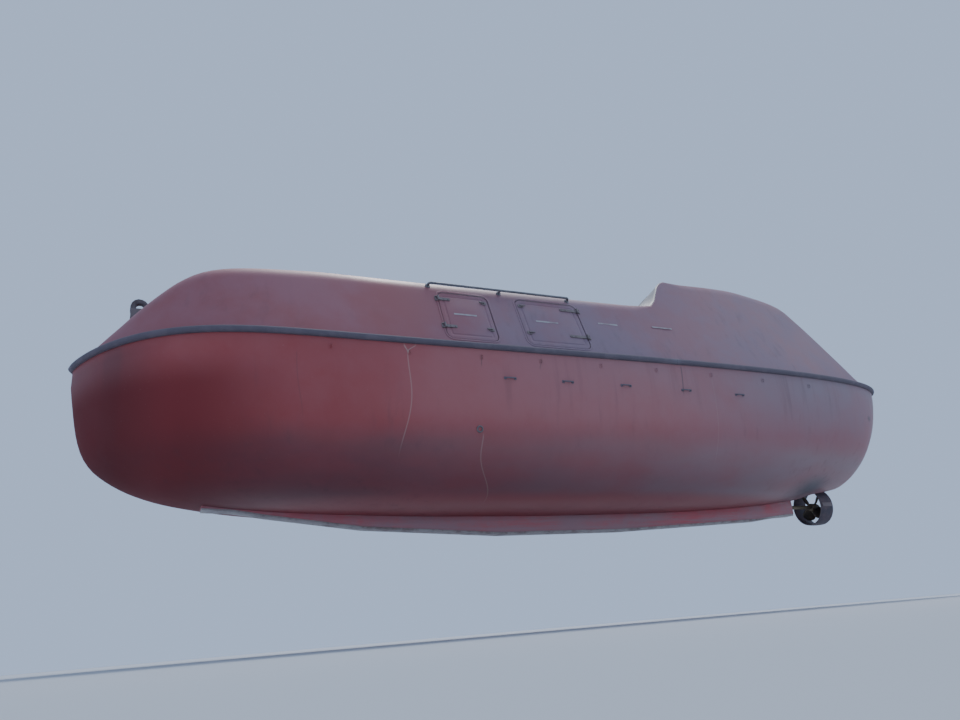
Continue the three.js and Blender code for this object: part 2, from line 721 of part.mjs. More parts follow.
for (let i = 0; i < 3; i += 1) {
  const turn = (i / 3) * 2 * Math.PI;
  const rim = new THREE.Vector3(Math.cos(turn) * 175, Math.sin(turn) * 175, 0);
  rim.applyMatrix4(wheelFrame).add(new THREE.Vector3(-2300, 0, 1430));
  wheel = wheel.add(rod([-2300, 0, 1430], rim.toArray(), 9, 8));
}
add('helm_wheel', wheel.subtract(grown(consoleBlock, SEAT)), 'seatBlack');

// Lifting hooks: a post through the canopy's slope at each end, and the hook that swings on it
// station, height of the pivot, foot of the post, true when the hook opens towards the bow
const hookSets = [
  ['fore', 5090, 1700, 1150, true],
  ['aft', -4860, 1660, 1150, false],
];
for (const [name, x, pivotZ, footZ, forward] of hookSets) {
  const cheek = (y0, y1) => plate(
    [[x - 100, footZ], [x + 100, footZ], [x + 80, pivotZ + 60], [x - 80, pivotZ + 60]],
    y0, y1, SIDE_VIEW,
  );
  const web = box(x - 90, x + 90, -60, 60, footZ, pivotZ - 110);
  const pin = rod([x, -62, pivotZ], [x, 62, pivotZ], 22, 24);
  const post = cheek(-62, -42).add(cheek(42, 62)).add(web).add(pin).subtract(canopyCut);
  add(`hook_post_${name}`, post, 'steel');
  const way = forward ? 1 : -1;
  const claw = new THREE.Shape();
  claw.moveTo(-50, -60);
  claw.lineTo(60, -70);
  claw.lineTo(90, 40);
  claw.quadraticCurveTo(100, 170, 10, 190);
  claw.quadraticCurveTo(-90, 190, -110, 90);
  claw.lineTo(-60, 95);
  claw.quadraticCurveTo(-40, 135, 0, 130);
  claw.quadraticCurveTo(40, 120, 30, 60);
  claw.lineTo(-50, 50);
  const hookFrame = new THREE.Matrix4().makeBasis(
    new THREE.Vector3(way, 0, 0),
    new THREE.Vector3(0, 0, 1),
    new THREE.Vector3(0, 1, 0),
  ).setPosition(x, 0, pivotZ);
  const hook = plate(claw, -36, 36, hookFrame)
    .subtract(rod([x, -80, pivotZ], [x, 80, pivotZ], RUNNING * 22 + GAP, 24));
  add(`hook_${name}`, hook, 'steel');
}

// Towing eye on the stern, and the lamp on the cockpit roof

const eyeRing = new THREE.TorusGeometry(46, 13, 10, 24);
eyeRing.rotateX(Math.PI / 2);
eyeRing.translate(STERN_X - 40, 0, 640);
const towingEye = solid(eyeRing)
  .add(box(STERN_X - 30, STERN_X + 60, -60, 60, 570, 710))
  .subtract(hullCut);
add('towing_eye', towingEye, 'steel');
const LAMP_X = -3250;
const lamp = rod([LAMP_X, 0, 2690], [LAMP_X, 0, 2800], 40, 20)
  .add(rod([LAMP_X, 0, 2795], [LAMP_X, 0, 2865], 58, 20, 40))
  .subtract(canopyCut);
add('lamp', lamp, 'glass');

export default boat;
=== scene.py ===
import bpy
import bmesh
import numpy as np
from contextlib import contextmanager
from math import atan2, cos, pi, radians, sin, sqrt, tan
from mathutils import Euler, Matrix, Vector


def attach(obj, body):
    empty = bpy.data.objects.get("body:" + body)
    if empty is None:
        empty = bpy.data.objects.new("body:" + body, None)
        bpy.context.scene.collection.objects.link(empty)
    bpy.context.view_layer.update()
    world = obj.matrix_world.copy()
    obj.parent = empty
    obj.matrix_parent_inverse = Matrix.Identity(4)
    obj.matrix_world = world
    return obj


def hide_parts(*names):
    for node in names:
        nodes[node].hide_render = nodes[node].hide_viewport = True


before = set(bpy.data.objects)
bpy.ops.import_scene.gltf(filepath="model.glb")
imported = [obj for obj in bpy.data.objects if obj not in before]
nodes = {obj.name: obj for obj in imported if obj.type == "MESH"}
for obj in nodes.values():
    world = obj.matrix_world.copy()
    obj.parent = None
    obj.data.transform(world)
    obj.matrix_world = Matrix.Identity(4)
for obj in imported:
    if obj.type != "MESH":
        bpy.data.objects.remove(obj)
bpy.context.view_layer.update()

# view: where the photograph was taken from, in metres, and which way it looks
view = {
    "place": (4.993, 8.763, -2.010),
    "pitch": 19.68,       # degrees up
    "heading": -115.35,   # degrees round from the bow, +Y to port
    "roll": -4.91,
    "focal": 760.0,       # pixels on a frame 960 wide
}


def placeCamera():
    data = bpy.data.cameras.new("camera")
    data.sensor_width = 36.0
    data.lens = view["focal"] * 36.0 / 960.0
    data.clip_end = 6000.0
    camera = bpy.data.objects.new("camera", data)
    bpy.context.scene.collection.objects.link(camera)
    turn = Euler((radians(90 + view["pitch"]), 0, radians(view["heading"] - 90)))
    matrix = turn.to_matrix() @ Matrix.Rotation(radians(view["roll"]), 3, "Z")
    camera.matrix_world = Matrix.Translation(view["place"]) @ matrix.to_4x4()
    bpy.context.scene.camera = camera


placeCamera()
print("camera placed")

# shader groups


def newGroup(name, inputs, outputs):
    group = bpy.data.node_groups.new(name, "ShaderNodeTree")
    for socketName, kind, value in inputs:
        socket = group.interface.new_socket(name=socketName, in_out="INPUT", socket_type=kind)
        socket.default_value = value
    for socketName, kind in outputs:
        group.interface.new_socket(name=socketName, in_out="OUTPUT", socket_type=kind)
    return group


class Tree:
    # short calls for adding and joining nodes

    def __init__(self, tree):
        self.tree = tree

    def add(self, kind, **settings):
        node = self.tree.nodes.new(kind)
        for key, value in settings.items():
            setattr(node, key, value)
        return node

    def join(self, source, target):
        self.tree.links.new(source, target)

    def put(self, socket, value):
        if isinstance(value, bpy.types.NodeSocket):
            self.join(value, socket)
        else:
            socket.default_value = value

    def maths(self, operation, a, b=0.0):
        node = self.add("ShaderNodeMath", operation=operation)
        self.put(node.inputs[0], a)
        self.put(node.inputs[1], b)
        return node.outputs[0]

    def times(self, a, *others):
        for b in others:
            a = self.maths("MULTIPLY", a, b)
        return a

    def plus(self, a, b):
        return self.maths("ADD", a, b)

    def vectorMaths(self, operation, a, b=None):
        node = self.add("ShaderNodeVectorMath", operation=operation)
        self.join(a, node.inputs[0])
        if b is not None:
            node.inputs[1].default_value = b
        return node

    def noise(self, vector, scale, detail=4.0, roughness=0.55, distortion=0.0):
        node = self.add("ShaderNodeTexNoise")
        self.join(vector, node.inputs["Vector"])
        self.put(node.inputs["Scale"], scale)
        node.inputs["Detail"].default_value = detail
        node.inputs["Roughness"].default_value = roughness
        node.inputs["Distortion"].default_value = distortion
        return node.outputs["Fac"]

    def stretched(self, vector, scale):
        node = self.add("ShaderNodeMapping")
        self.join(vector, node.inputs["Vector"])
        node.inputs["Scale"].default_value = scale
        return node.outputs[0]

    def between(self, value, low, high):
        node = self.add("ShaderNodeMapRange", clamp=True, interpolation_type="SMOOTHSTEP")
        self.put(node.inputs["Value"], value)
        self.put(node.inputs["From Min"], low)
        self.put(node.inputs["From Max"], high)
        return node.outputs["Result"]

    def mix(self, factor, a, b):
        node = self.add("ShaderNodeMix", data_type="RGBA", blend_type="MIX")
        self.put(node.inputs["Factor"], factor)
        self.put(node.inputs[6], a)
        self.put(node.inputs[7], b)
        return node.outputs[2]

    def axes(self, vector):
        node = self.add("ShaderNodeSeparateXYZ")
        self.join(vector, node.inputs[0])
        return node.outputs

    def shared(self, group, vector, **values):
        # a node group on the vector, with its values
        node = self.add("ShaderNodeGroup", node_tree=group)
        self.join(vector, node.inputs["Vector"])
        for key, value in values.items():
            node.inputs[key].default_value = value
        return node.outputs


def buildWeather():
    # soft fading in patches, runs down the sides, specks, and a fine grain for the bump
    group = newGroup(
        "weather",
        [("Vector", "NodeSocketVector", (0, 0, 0)), ("Scale", "NodeSocketFloat", 1.0)],
        [("Fade", "NodeSocketFloat"), ("Runs", "NodeSocketFloat"),
         ("Specks", "NodeSocketFloat"), ("Height", "NodeSocketFloat")],
    )
    t = Tree(group)
    given = t.add("NodeGroupInput")
    result = t.add("NodeGroupOutput")
    scaled = t.vectorMaths("SCALE", given.outputs["Vector"])
    t.join(given.outputs["Scale"], scaled.inputs["Scale"])
    place = scaled.outputs[0]
    broad = t.noise(place, 0.55, 3.0, 0.5, 0.4)
    patches = t.noise(place, 3.2, 5.0, 0.6, 0.2)
    fade = t.plus(t.times(broad, 0.65), t.times(patches, 0.35))
    t.join(t.between(fade, 0.36, 0.66), result.inputs["Fade"])
    runs = t.noise(t.stretched(place, (9.0, 9.0, 0.55)), 1.0, 5.0, 0.6, 0.15)
    where = t.noise(place, 0.9, 2.0, 0.5)
    runMask = t.times(t.between(runs, 0.5, 0.74), t.between(where, 0.4, 0.62))
    t.join(runMask, result.inputs["Runs"])
    specks = t.noise(place, 38.0, 3.0, 0.7)
    t.join(t.between(specks, 0.64, 0.78), result.inputs["Specks"])
    ripple = t.noise(place, 1.7, 2.0, 0.4)
    peel = t.noise(place, 120.0, 2.0, 0.5)
    t.join(t.plus(t.times(ripple, 0.8), t.times(peel, 0.012)), result.inputs["Height"])
    return group


def buildWorn():
    # edges where the point of the surface sticks out, broken up by noise
    group = newGroup(
        "worn",
        [("Vector", "NodeSocketVector", (0, 0, 0)), ("Scale", "NodeSocketFloat", 30.0)],
        [("Edge", "NodeSocketFloat"), ("Blotch", "NodeSocketFloat"), ("Height", "NodeSocketFloat")],
    )
    t = Tree(group)
    given = t.add("NodeGroupInput")
    result = t.add("NodeGroupOutput")
    geometry = t.add("ShaderNodeNewGeometry")
    noise = t.noise(given.outputs["Vector"], given.outputs["Scale"], 5.0, 0.62)
    # the noise has its middle at 0.5, so half its share comes off again
    point = t.plus(geometry.outputs["Pointiness"], t.times(noise, 0.05))
    point = t.maths("SUBTRACT", point, 0.025)
    t.join(t.between(point, 0.52, 0.58), result.inputs["Edge"])
    blotch = t.noise(given.outputs["Vector"], 6.0, 4.0, 0.6)
    t.join(t.between(blotch, 0.42, 0.66), result.inputs["Blotch"])
    t.join(noise, result.inputs["Height"])
    return group


weather = buildWeather()
worn = buildWorn()


def newMaterial(name):
    material = bpy.data.materials.new(name)
    material.use_nodes = True
    t = Tree(material.node_tree)
    shader = material.node_tree.nodes["Principled BSDF"]
    place = t.add("ShaderNodeTexCoord").outputs["Object"]
    return material, t, shader, place


def addBump(t, shader, height, strength, distance):
    bump = t.add("ShaderNodeBump")
    bump.inputs["Strength"].default_value = strength
    bump.inputs["Distance"].default_value = distance
    t.join(height, bump.inputs["Height"])
    t.join(bump.outputs["Normal"], shader.inputs["Normal"])


def zone(t, axes, limits):
    # 1 inside the soft limits along the axes, 0 beyond them
    return t.times(*[t.between(axes[axis], low, high) for axis, low, high in limits])


def spot(t, place, centre, size):
    # a soft patch round a point: 1 in the middle, 0 outside the size
    near = t.vectorMaths("SUBTRACT", place, centre)
    scaled = t.vectorMaths("DIVIDE", near.outputs[0], size)
    length = t.vectorMaths("LENGTH", scaled.outputs[0])
    return t.between(length.outputs["Value"], 1.0, 0.0)


# how softly a streak starts and ends, the share of it that fades out, the least distance to port
streakShape = {"start": (0.02, -0.03), "end": -0.02, "tail": 0.25, "port": 0.2}


def streak(t, axes, line, width):
    # a mark that runs down the port side through the line's (station, height) points
    (x0, z0), (x1, _), (x2, z2) = line
    down = t.between(axes["Z"], z0, z2)
    bow = x1 - (x0 + x2) / 2
    arch = t.times(down, t.maths("SUBTRACT", 1.0, down), 4 * bow)
    centre = t.plus(t.plus(t.times(down, x2 - x0), x0), arch)
    off = t.maths("ABSOLUTE", t.maths("SUBTRACT", axes["X"], centre))
    across = t.between(off, width, 0.0)
    below = t.between(axes["Z"], *(z0 + lift for lift in streakShape["start"]))
    above = t.between(axes["Z"], z2 + streakShape["end"], z2 + streakShape["tail"] * (z0 - z2))
    port = t.maths("GREATER_THAN", axes["Y"], streakShape["port"])
    return t.times(across, below, above, port)


gelcoat = {
    "heights": (-0.9, 1.1), "fadeRough": 0.14, "runRough": 0.3, "coat": 0.10, "coatRough": 0.38,
    "bump": (0.35, 0.010), "runs": 0.22, "specks": 0.12, "speckColour": (0.45, 0.32, 0.31, 1),
    # chalk is a bleached mauve-grey, partly real fading and partly painted haze light
    "canopy": {
        "deep": (0.285, 0.073, 0.082, 1), "faded": (0.300, 0.115, 0.140, 1),
        "grime": (0.10, 0.070, 0.085, 1), "rough": 0.50, "bloom": 0.48,
        "patchy": 0.45, "chalk": (0.212, 0.155, 0.205, 1), "stations": (3.0, 0.7),
    },
    "hull": {
        "deep": (0.33, 0.045, 0.047, 1), "faded": (0.35, 0.075, 0.080, 1),
        "grime": (0.115, 0.052, 0.062, 1), "rough": 0.45, "bloom": 0.72,
        "patchy": 0.3, "chalk": (0.255, 0.198, 0.228, 1), "stations": (4.6, -4.3),
    },
    "scuff": (0.39, 0.215, 0.235, 1),
}

# marks on the canopy and the hull
marks = {
    # painted reflection: grey-blue on the forward faces round the windscreen panes
    "screen": (0.10, 0.112, 0.145, 1), "screenFacing": (0.30, 0.45),
    "screenZone": [("X", -1.20, -1.25), ("X", -1.90, -1.75)],
    # painted shade under the turn of the bilge, and painted haze light on its aft end
    "wetZone": [("Z", 0.17, -0.15), ("Z", -0.60, -0.50)],
    "growthAft": (0.27, 0.225, 0.24, 1), "growthStations": (4.0, -3.5),
    # colour, strength, soft limits along the axes
    # painted light: a brighter red over the upper hull amidships
    "middle": ((0.52, 0.19, 0.185, 1), 0.20,
               [("X", 3.4, 1.8), ("X", -3.2, -0.8), ("Z", 0.0, 0.35)]),
    # painted shade: a soft dark vertical band near the stem, in the hull's dark tone
    "plate": (gelcoat["hull"]["grime"], 0.3, [("X", 5.16, 5.24), ("X", 5.40, 5.33)]),
    # painted shade: the forefoot is darkened where the bow turns away from the light
    "forefoot": ((0.17, 0.016, 0.020, 1), 0.72, [("X", 3.4, 4.7), ("Z", 0.85, 0.45)]),
    # painted shade: the upper bow is darkened below the fender
    "tip": ((0.10, 0.010, 0.014, 1), 0.6, [("X", 4.7, 5.3), ("Z", 1.05, 0.85)]),
    # points down the side, width, strength
    "chalk": (0.50, 0.42, 0.36, 1),
    "chalkLines": [
        (((2.425, 0.86), (2.40, 0.35), (2.50, -0.24)), 0.010, 0.34),
        (((2.46, 0.965), (2.44, 0.92), (2.42, 0.87)), 0.014, 0.5),
        (((2.33, 0.965), (2.39, 0.92), (2.42, 0.87)), 0.014, 0.5),
        (((1.565, 0.02), (1.53, -0.38), (1.30, -0.64)), 0.011, 0.30),
        (((-1.70, 0.80), (-1.71, 0.2), (-1.70, -0.35)), 0.009, 0.12),
    ],
    "dirt": (0.06, 0.045, 0.05, 1),
    "dirtLines": [
        (((-1.225, 0.955), (-1.215, 0.80), (-1.20, 0.56)), 0.016, 0.6),
        (((1.56, 0.90), (1.56, 0.84), (1.565, 0.77)), 0.012, 0.5),
        (((0.80, 0.90), (0.81, 0.85), (0.825, 0.78)), 0.012, 0.4),
        (((3.60, 0.80), (3.575, 0.45), (3.52, 0.10)), 0.010, 0.25),
    ],
    # place, size, strength, colour: the dark hip aft, and soot beside the nozzle with painted shade
    "spots": [
        ((-4.94, 1.13, 0.52), (0.09, 0.3, 0.06), 0.7, (0.07, 0.055, 0.06, 1)),
        ((-3.98, 0.70, -0.43), (0.66, 0.85, 0.21), 0.95, (0.055, 0.050, 0.068, 1)),
    ],
    "bowRough": 0.35, "bowCoat": 0.10,
}


def hullMarks(t, place, axes, colour):
    # the marks over the hull's weathered red, with painted shade and painted light among them, and the
    # mask of its forefoot, painted darker as shade and made matt
    def zoned(key, under):
        # one of the marks with limits, over the colour under it
        shade, power, limits = marks[key]
        mask = zone(t, axes, limits)
        return mask, t.mix(t.times(mask, power), under, shade)

    colour = zoned("middle", colour)[1]
    # painted shade on the turn of the bilge where it faces down, paling aft into painted haze light; the
    # red beside the keel is left bright as painted bounce light
    uneven = t.between(t.noise(t.stretched(place, (0.7, 0.7, 2.2)), 1.3, 4.0, 0.55), 0.2, 0.75)
    underShade = t.times(zone(t, axes, marks["wetZone"]), t.plus(t.times(uneven, 0.35), 0.32))
    aft = t.between(axes["X"], *marks["growthStations"])
    colour = t.mix(underShade, colour, t.mix(aft, gelcoat["hull"]["grime"], marks["growthAft"]))
    colour = zoned("plate", colour)[1]
    for kind in ("chalk", "dirt"):
        for line, width, power in marks[kind + "Lines"]:
            colour = t.mix(t.times(streak(t, axes, line, width), power), colour, marks[kind])
    for centre, size, power, shade in marks["spots"]:
        colour = t.mix(t.times(spot(t, place, centre, size), power), colour, shade)
    forefoot, colour = zoned("forefoot", colour)
    return forefoot, zoned("tip", colour)[1]


def screenMark(t, axes, colour):
    # the forward-facing front of the cockpit round its panes is painted grey-blue as a painted sky
    # reflection
    facing = t.axes(t.add("ShaderNodeNewGeometry").outputs["Normal"])["X"]
    screen = t.times(t.between(facing, *marks["screenFacing"]), zone(t, axes, marks["screenZone"]))
    return t.mix(screen, colour, marks["screen"])


def makeGelcoat(name, part):
    material, t, shader, place = newMaterial(name)
    values = gelcoat[part]
    weathered = t.shared(weather, place, Scale=1.0)
    axes = t.axes(place)
    colour = t.mix(weathered["Fade"], values["deep"], values["faded"])
    # bleached bloom, partly real fading and partly painted haze light, growing aft and on the upper
    # faces
    bloom = t.times(t.between(axes["X"], *values["stations"]), t.between(axes["Z"], *gelcoat["heights"]))
    bloom = t.times(bloom, t.plus(t.times(weathered["Fade"], values["patchy"]), values["bloom"]))
    colour = t.mix(bloom, colour, values["chalk"])
    runs = t.times(weathered["Runs"], gelcoat["runs"])
    rough = t.plus(t.times(weathered["Fade"], gelcoat["fadeRough"]), values["rough"])
    rough = t.plus(rough, t.times(runs, gelcoat["runRough"]))
    shader.inputs["Coat Weight"].default_value = gelcoat["coat"]
    if part == "canopy":
        colour = screenMark(t, axes, colour)
    else:
        # the forefoot has lost its gloss
        forefoot, colour = hullMarks(t, place, axes, colour)
        rough = t.plus(rough, t.times(forefoot, marks["bowRough"]))
        lost = t.times(forefoot, marks["bowCoat"])
        t.join(t.maths("SUBTRACT", gelcoat["coat"], lost), shader.inputs["Coat Weight"])
    colour = t.mix(runs, colour, values["grime"])
    specks = t.times(weathered["Specks"], gelcoat["specks"])
    t.join(t.mix(specks, colour, gelcoat["speckColour"]), shader.inputs["Base Color"])
    t.join(rough, shader.inputs["Roughness"])
    shader.inputs["Coat Roughness"].default_value = gelcoat["coatRough"]
    addBump(t, shader, weathered["Height"], *gelcoat["bump"])


keelPaint = {
    "base": (0.57, 0.125, 0.145, 1), "bare": (0.40, 0.31, 0.27, 1), "rough": 0.62,
    "foot": (-0.60, -0.78), "bump": (0.3, 0.003),
}


def makeKeelPaint(name):
    # scuffed and sanded paint on the skeg, worn through along its foot
    material, t, shader, place = newMaterial(name)
    fade = t.shared(weather, place, Scale=1.6)["Fade"]
    colour = t.mix(fade, keelPaint["base"], gelcoat["scuff"])
    scrapes = t.noise(t.stretched(place, (1.2, 5.0, 22.0)), 1.0, 6.0, 0.7, 0.3)
    low = t.between(t.axes(place)["Z"], *keelPaint["foot"])
    colour = t.mix(t.times(t.between(scrapes, 0.35, 0.62), low), colour, gelcoat["scuff"])
    scratch = t.times(t.between(scrapes, 0.60, 0.70), 0.7)
    t.join(t.mix(scratch, colour, keelPaint["bare"]), shader.inputs["Base Color"])
    shader.inputs["Roughness"].default_value = keelPaint["rough"]
    addBump(t, shader, scrapes, *keelPaint["bump"])


def makePlain(name, base, second, rough, metallic=0.0, scale=30.0, wornColour=None, bump=0.2):
    # a base colour blotched with a second one, edges worn to a third
    material, t, shader, place = newMaterial(name)
    shared = t.shared(worn, place, Scale=scale)
    colour = t.mix(shared["Blotch"], base, second)
    if wornColour:
        colour = t.mix(t.times(shared["Edge"], 0.7), colour, wornColour)
    t.join(colour, shader.inputs["Base Color"])
    t.join(t.plus(t.times(shared["Blotch"], 0.15), rough), shader.inputs["Roughness"])
    shader.inputs["Metallic"].default_value = metallic
    addBump(t, shader, shared["Height"], bump, 0.002)


plainPaints = {
    # base and second colour, roughness, metal, scale of the noise, worn edges, bump
    "wearStrip": ((0.40, 0.36, 0.35, 1), (0.26, 0.19, 0.18, 1), 0.6, 0.0, 25,
                  (0.56, 0.53, 0.51, 1)),
    "fenderRubber": ((0.110, 0.090, 0.113, 1), (0.145, 0.118, 0.142, 1), 0.74, 0.0, 40,
                     (0.17, 0.15, 0.18, 1), 0.35),
    "gasketRubber": ((0.060, 0.034, 0.038, 1), (0.090, 0.050, 0.054, 1), 0.75, 0.0, 60),
    "railSteel": ((0.11, 0.11, 0.13, 1), (0.075, 0.068, 0.075, 1), 0.48, 0.45, 50,
                  (0.30, 0.29, 0.30, 1)),
    "fittingSteel": ((0.095, 0.078, 0.088, 1), (0.070, 0.048, 0.048, 1), 0.55, 0.25, 45,
                     (0.24, 0.20, 0.20, 1)),
    "nozzlePaint": ((0.066, 0.052, 0.068, 1), (0.125, 0.085, 0.095, 1), 0.62, 0.0, 28,
                    (0.24, 0.19, 0.19, 1), 0.4),
    "propellerBronze": ((0.12, 0.090, 0.065, 1), (0.075, 0.066, 0.058, 1), 0.52, 0.7, 30,
                        (0.26, 0.21, 0.14, 1)),
    "innerLiner": ((0.62, 0.61, 0.56, 1), (0.5, 0.49, 0.44, 1), 0.6, 0.0, 18,
                   (0.7, 0.7, 0.66, 1)),
    "engineEnamel": ((0.13, 0.19, 0.15, 1), (0.08, 0.1, 0.085, 1), 0.45, 0.0, 30,
                     (0.4, 0.4, 0.38, 1)),
    "helmPlastic": ((0.022, 0.022, 0.025, 1), (0.045, 0.045, 0.048, 1), 0.5, 0.0, 90),
}

tapeFinish = {
    "web": (0.28, 0.26, 0.28, 1), "cell": (0.38, 0.36, 0.38, 1), "dirt": (0.26, 0.20, 0.22, 1),
    "cells": 160.0, "rough": 0.42, "bump": (0.15, 0.0005),
}


def makeTape(name):
    # white reflective tape with its fine cells, grey at its dirty ends
    material, t, shader, place = newMaterial(name)
    cells = t.add("ShaderNodeTexVoronoi", feature="DISTANCE_TO_EDGE")
    t.join(place, cells.inputs["Vector"])
    cells.inputs["Scale"].default_value = tapeFinish["cells"]
    web = t.between(cells.outputs["Distance"], 0.0, 0.12)
    dirt = t.between(t.noise(place, 9.0, 4.0, 0.6), 0.4, 0.68)
    colour = t.mix(web, tapeFinish["web"], tapeFinish["cell"])
    t.join(t.mix(dirt, colour, tapeFinish["dirt"]), shader.inputs["Base Color"])
    shader.inputs["Roughness"].default_value = tapeFinish["rough"]
    addBump(t, shader, web, *tapeFinish["bump"])


def makeGlass(name, tint, rough):
    material, t, shader, place = newMaterial(name)
    haze = t.between(t.noise(place, 7.0, 4.0, 0.6), 0.35, 0.75)
    t.join(t.plus(t.times(haze, 0.12), rough), shader.inputs["Roughness"])
    shader.inputs["Base Color"].default_value = tint
    shader.inputs["Transmission Weight"].default_value = 0.85
    shader.inputs["IOR"].default_value = 1.49


makeGelcoat("canopyGelcoat", "canopy")
makeGelcoat("hullGelcoat", "hull")
makeKeelPaint("keelPaint")
for name, values in plainPaints.items():
    makePlain(name, *values)
makeTape("reflectiveTape")
makeGlass("windowGlass", (0.62, 0.70, 0.74, 1), 0.06)
makeGlass("lampLens", (0.86, 0.87, 0.84, 1), 0.12)
print("materials made")

# modelling helpers


def clearSelection():
    if bpy.context.object and bpy.context.object.mode != "OBJECT":
        bpy.ops.object.mode_set(mode="OBJECT")
    bpy.ops.object.select_all(action="DESELECT")


def activate(*objs):
    clearSelection()
    for obj in objs:
        obj.select_set(True)
    bpy.context.view_layer.objects.active = objs[0]


@contextmanager
def editing(obj):
    # edit mode with the whole mesh selected, and back
    activate(obj)
    bpy.ops.object.mode_set(mode="EDIT")
    bpy.ops.mesh.select_all(action="SELECT")
    yield
    bpy.ops.object.mode_set(mode="OBJECT")


def settle(obj):
    # place, turn and scale go into the mesh
    activate(obj)
    bpy.ops.object.transform_apply(location=True, rotation=True, scale=True)


def joinAll(name, objs):
    activate(*objs)
    if len(objs) > 1:
        bpy.ops.object.join()
    obj = bpy.context.object
    obj.name = name
    return obj


def modified(obj, kind, **settings):
    # a modifier with its settings, applied
    activate(obj)
    modifier = obj.modifiers.new(kind.lower(), kind)
    for key, value in settings.items():
        setattr(modifier, key, value)
    bpy.ops.object.modifier_apply(modifier=modifier.name)
    return obj


def bevelled(obj, width, angle=35):
    return modified(obj, "BEVEL", width=width, segments=2, limit_method="ANGLE",
                    angle_limit=radians(angle))


def boolean(obj, other, operation="DIFFERENCE"):
    modified(obj, "BOOLEAN", operation=operation, solver="EXACT", object=other)
    bpy.data.objects.remove(other)
    return obj


def duplicate(obj, name):
    copy = obj.copy()
    copy.data = obj.data.copy()
    copy.name = name
    bpy.context.scene.collection.objects.link(copy)
    return copy


def flipped(obj):
    # mirrored over the centre plane
    obj.data.transform(Matrix.Scale(-1, 4, (0, 1, 0)))
    obj.data.flip_normals()
    return obj


def mirrored(obj, name):
    # the same piece on the starboard side
    return flipped(duplicate(obj, name))


def linedInside(obj):
    # the faces that look into the boat get the liner as a second finish
    height = 0.95
    obj.data.materials.append(bpy.data.materials["innerLiner"])
    for polygon in obj.data.polygons:
        away = Vector((polygon.center.x * 0.2, polygon.center.y, polygon.center.z - height))
        if polygon.normal.dot(away) < 0:
            polygon.material_index = 1


def finishPiece(obj, name, body, material, replaced=(), lined=False):
    obj.name = name
    obj.data.name = name
    settle(obj)
    obj.data.materials.clear()
    obj.data.materials.append(bpy.data.materials[material])
    if lined:
        linedInside(obj)
    bpy.ops.object.shade_smooth_by_angle(angle=radians(32))
    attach(obj, body)
    if replaced:
        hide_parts(*replaced)


def finishPair(piece, title, material, nodeNames=None):
    # a fixed piece to port and its copy to starboard
    other = mirrored(piece, title + "Starboard")
    for obj, ending, shipSide in ((piece, "Port", "port"), (other, "Starboard", "stbd")):
        replaced = [nodeNames.format(shipSide)] if nodeNames else ()
        finishPiece(obj, title + ending, "boat", material, replaced)


def roundedPlate(low, high, corner, bottom, top, segments=6):
    # a plate with round corners in its own frame: low and high are its corners across and up
    clearSelection()
    bpy.ops.mesh.primitive_plane_add(size=1)
    obj = bpy.context.object
    obj.scale = (high[0] - low[0], high[1] - low[1], 1)
    obj.location = ((low[0] + high[0]) / 2, (low[1] + high[1]) / 2, bottom)
    settle(obj)
    with editing(obj):
        bpy.ops.mesh.bevel(offset=corner, offset_type="OFFSET", segments=segments, affect="VERTICES")
        bpy.ops.mesh.select_all(action="SELECT")
        bpy.ops.mesh.extrude_region_move(TRANSFORM_OT_translate={"value": (0, 0, top - bottom)})
        bpy.ops.mesh.select_all(action="SELECT")
        bpy.ops.mesh.normals_make_consistent(inside=False)
    return obj


def frameRing(low, high, corner, width, bottom, top):
    # a flat ring with round corners, its outer edge at low and high
    obj = roundedPlate(low, high, corner, bottom, top, 8)
    hole = roundedPlate((low[0] + width, low[1] + width), (high[0] - width, high[1] - width),
                        max(corner - width, 0.01), bottom - 0.05, top + 0.05, 8)
    return boolean(obj, hole)


def tube(points, radius, sides=12):
    # a round bar along the points
    curve = bpy.data.curves.new("bar", "CURVE")
    curve.dimensions = "3D"
    curve.bevel_depth = radius
    curve.bevel_resolution = sides // 4
    curve.use_fill_caps = True
    spline = curve.splines.new("POLY")
    spline.points.add(len(points) - 1)
    for point, place in zip(spline.points, points):
        point.co = (*place, 1)
    obj = bpy.data.objects.new("bar", curve)
    bpy.context.scene.collection.objects.link(obj)
    activate(obj)
    bpy.ops.object.convert(target="MESH")
    return bpy.context.object


def roundedPath(corners, radius, steps=6):
    # the corners joined by straight runs with a round bend at each inner corner
    points = [Vector(corners[0])]
    for before, corner, after in zip(corners, corners[1:], corners[2:]):
        corner = Vector(corner)
        back = (Vector(before) - corner).normalized()
        on = (Vector(after) - corner).normalized()
        start, end = corner + back * radius, corner + on * radius
        for k in range(steps + 1):
            s = k / steps
            points.append((1 - s) ** 2 * start + 2 * s * (1 - s) * corner + s ** 2 * end)
    points.append(Vector(corners[-1]))
    return points


def cylinder(radius, depth, place, direction=(0, 0, 1), sides=24, top=None):
    # place is the middle; top is the radius of the far end
    clearSelection()
    turn = Vector(direction).to_track_quat("Z", "Y").to_euler()
    bpy.ops.mesh.primitive_cone_add(
        vertices=sides, radius1=radius, radius2=radius if top is None else top, depth=depth,
        location=place, rotation=turn,
    )
    obj = bpy.context.object
    settle(obj)
    return obj


def block(low, high, bevel=0.0):
    clearSelection()
    middle = [(a + b) / 2 for a, b in zip(low, high)]
    bpy.ops.mesh.primitive_cube_add(size=1, location=middle)
    obj = bpy.context.object
    obj.scale = [b - a for a, b in zip(low, high)]
    settle(obj)
    if bevel:
        bevelled(obj, bevel)
    return obj


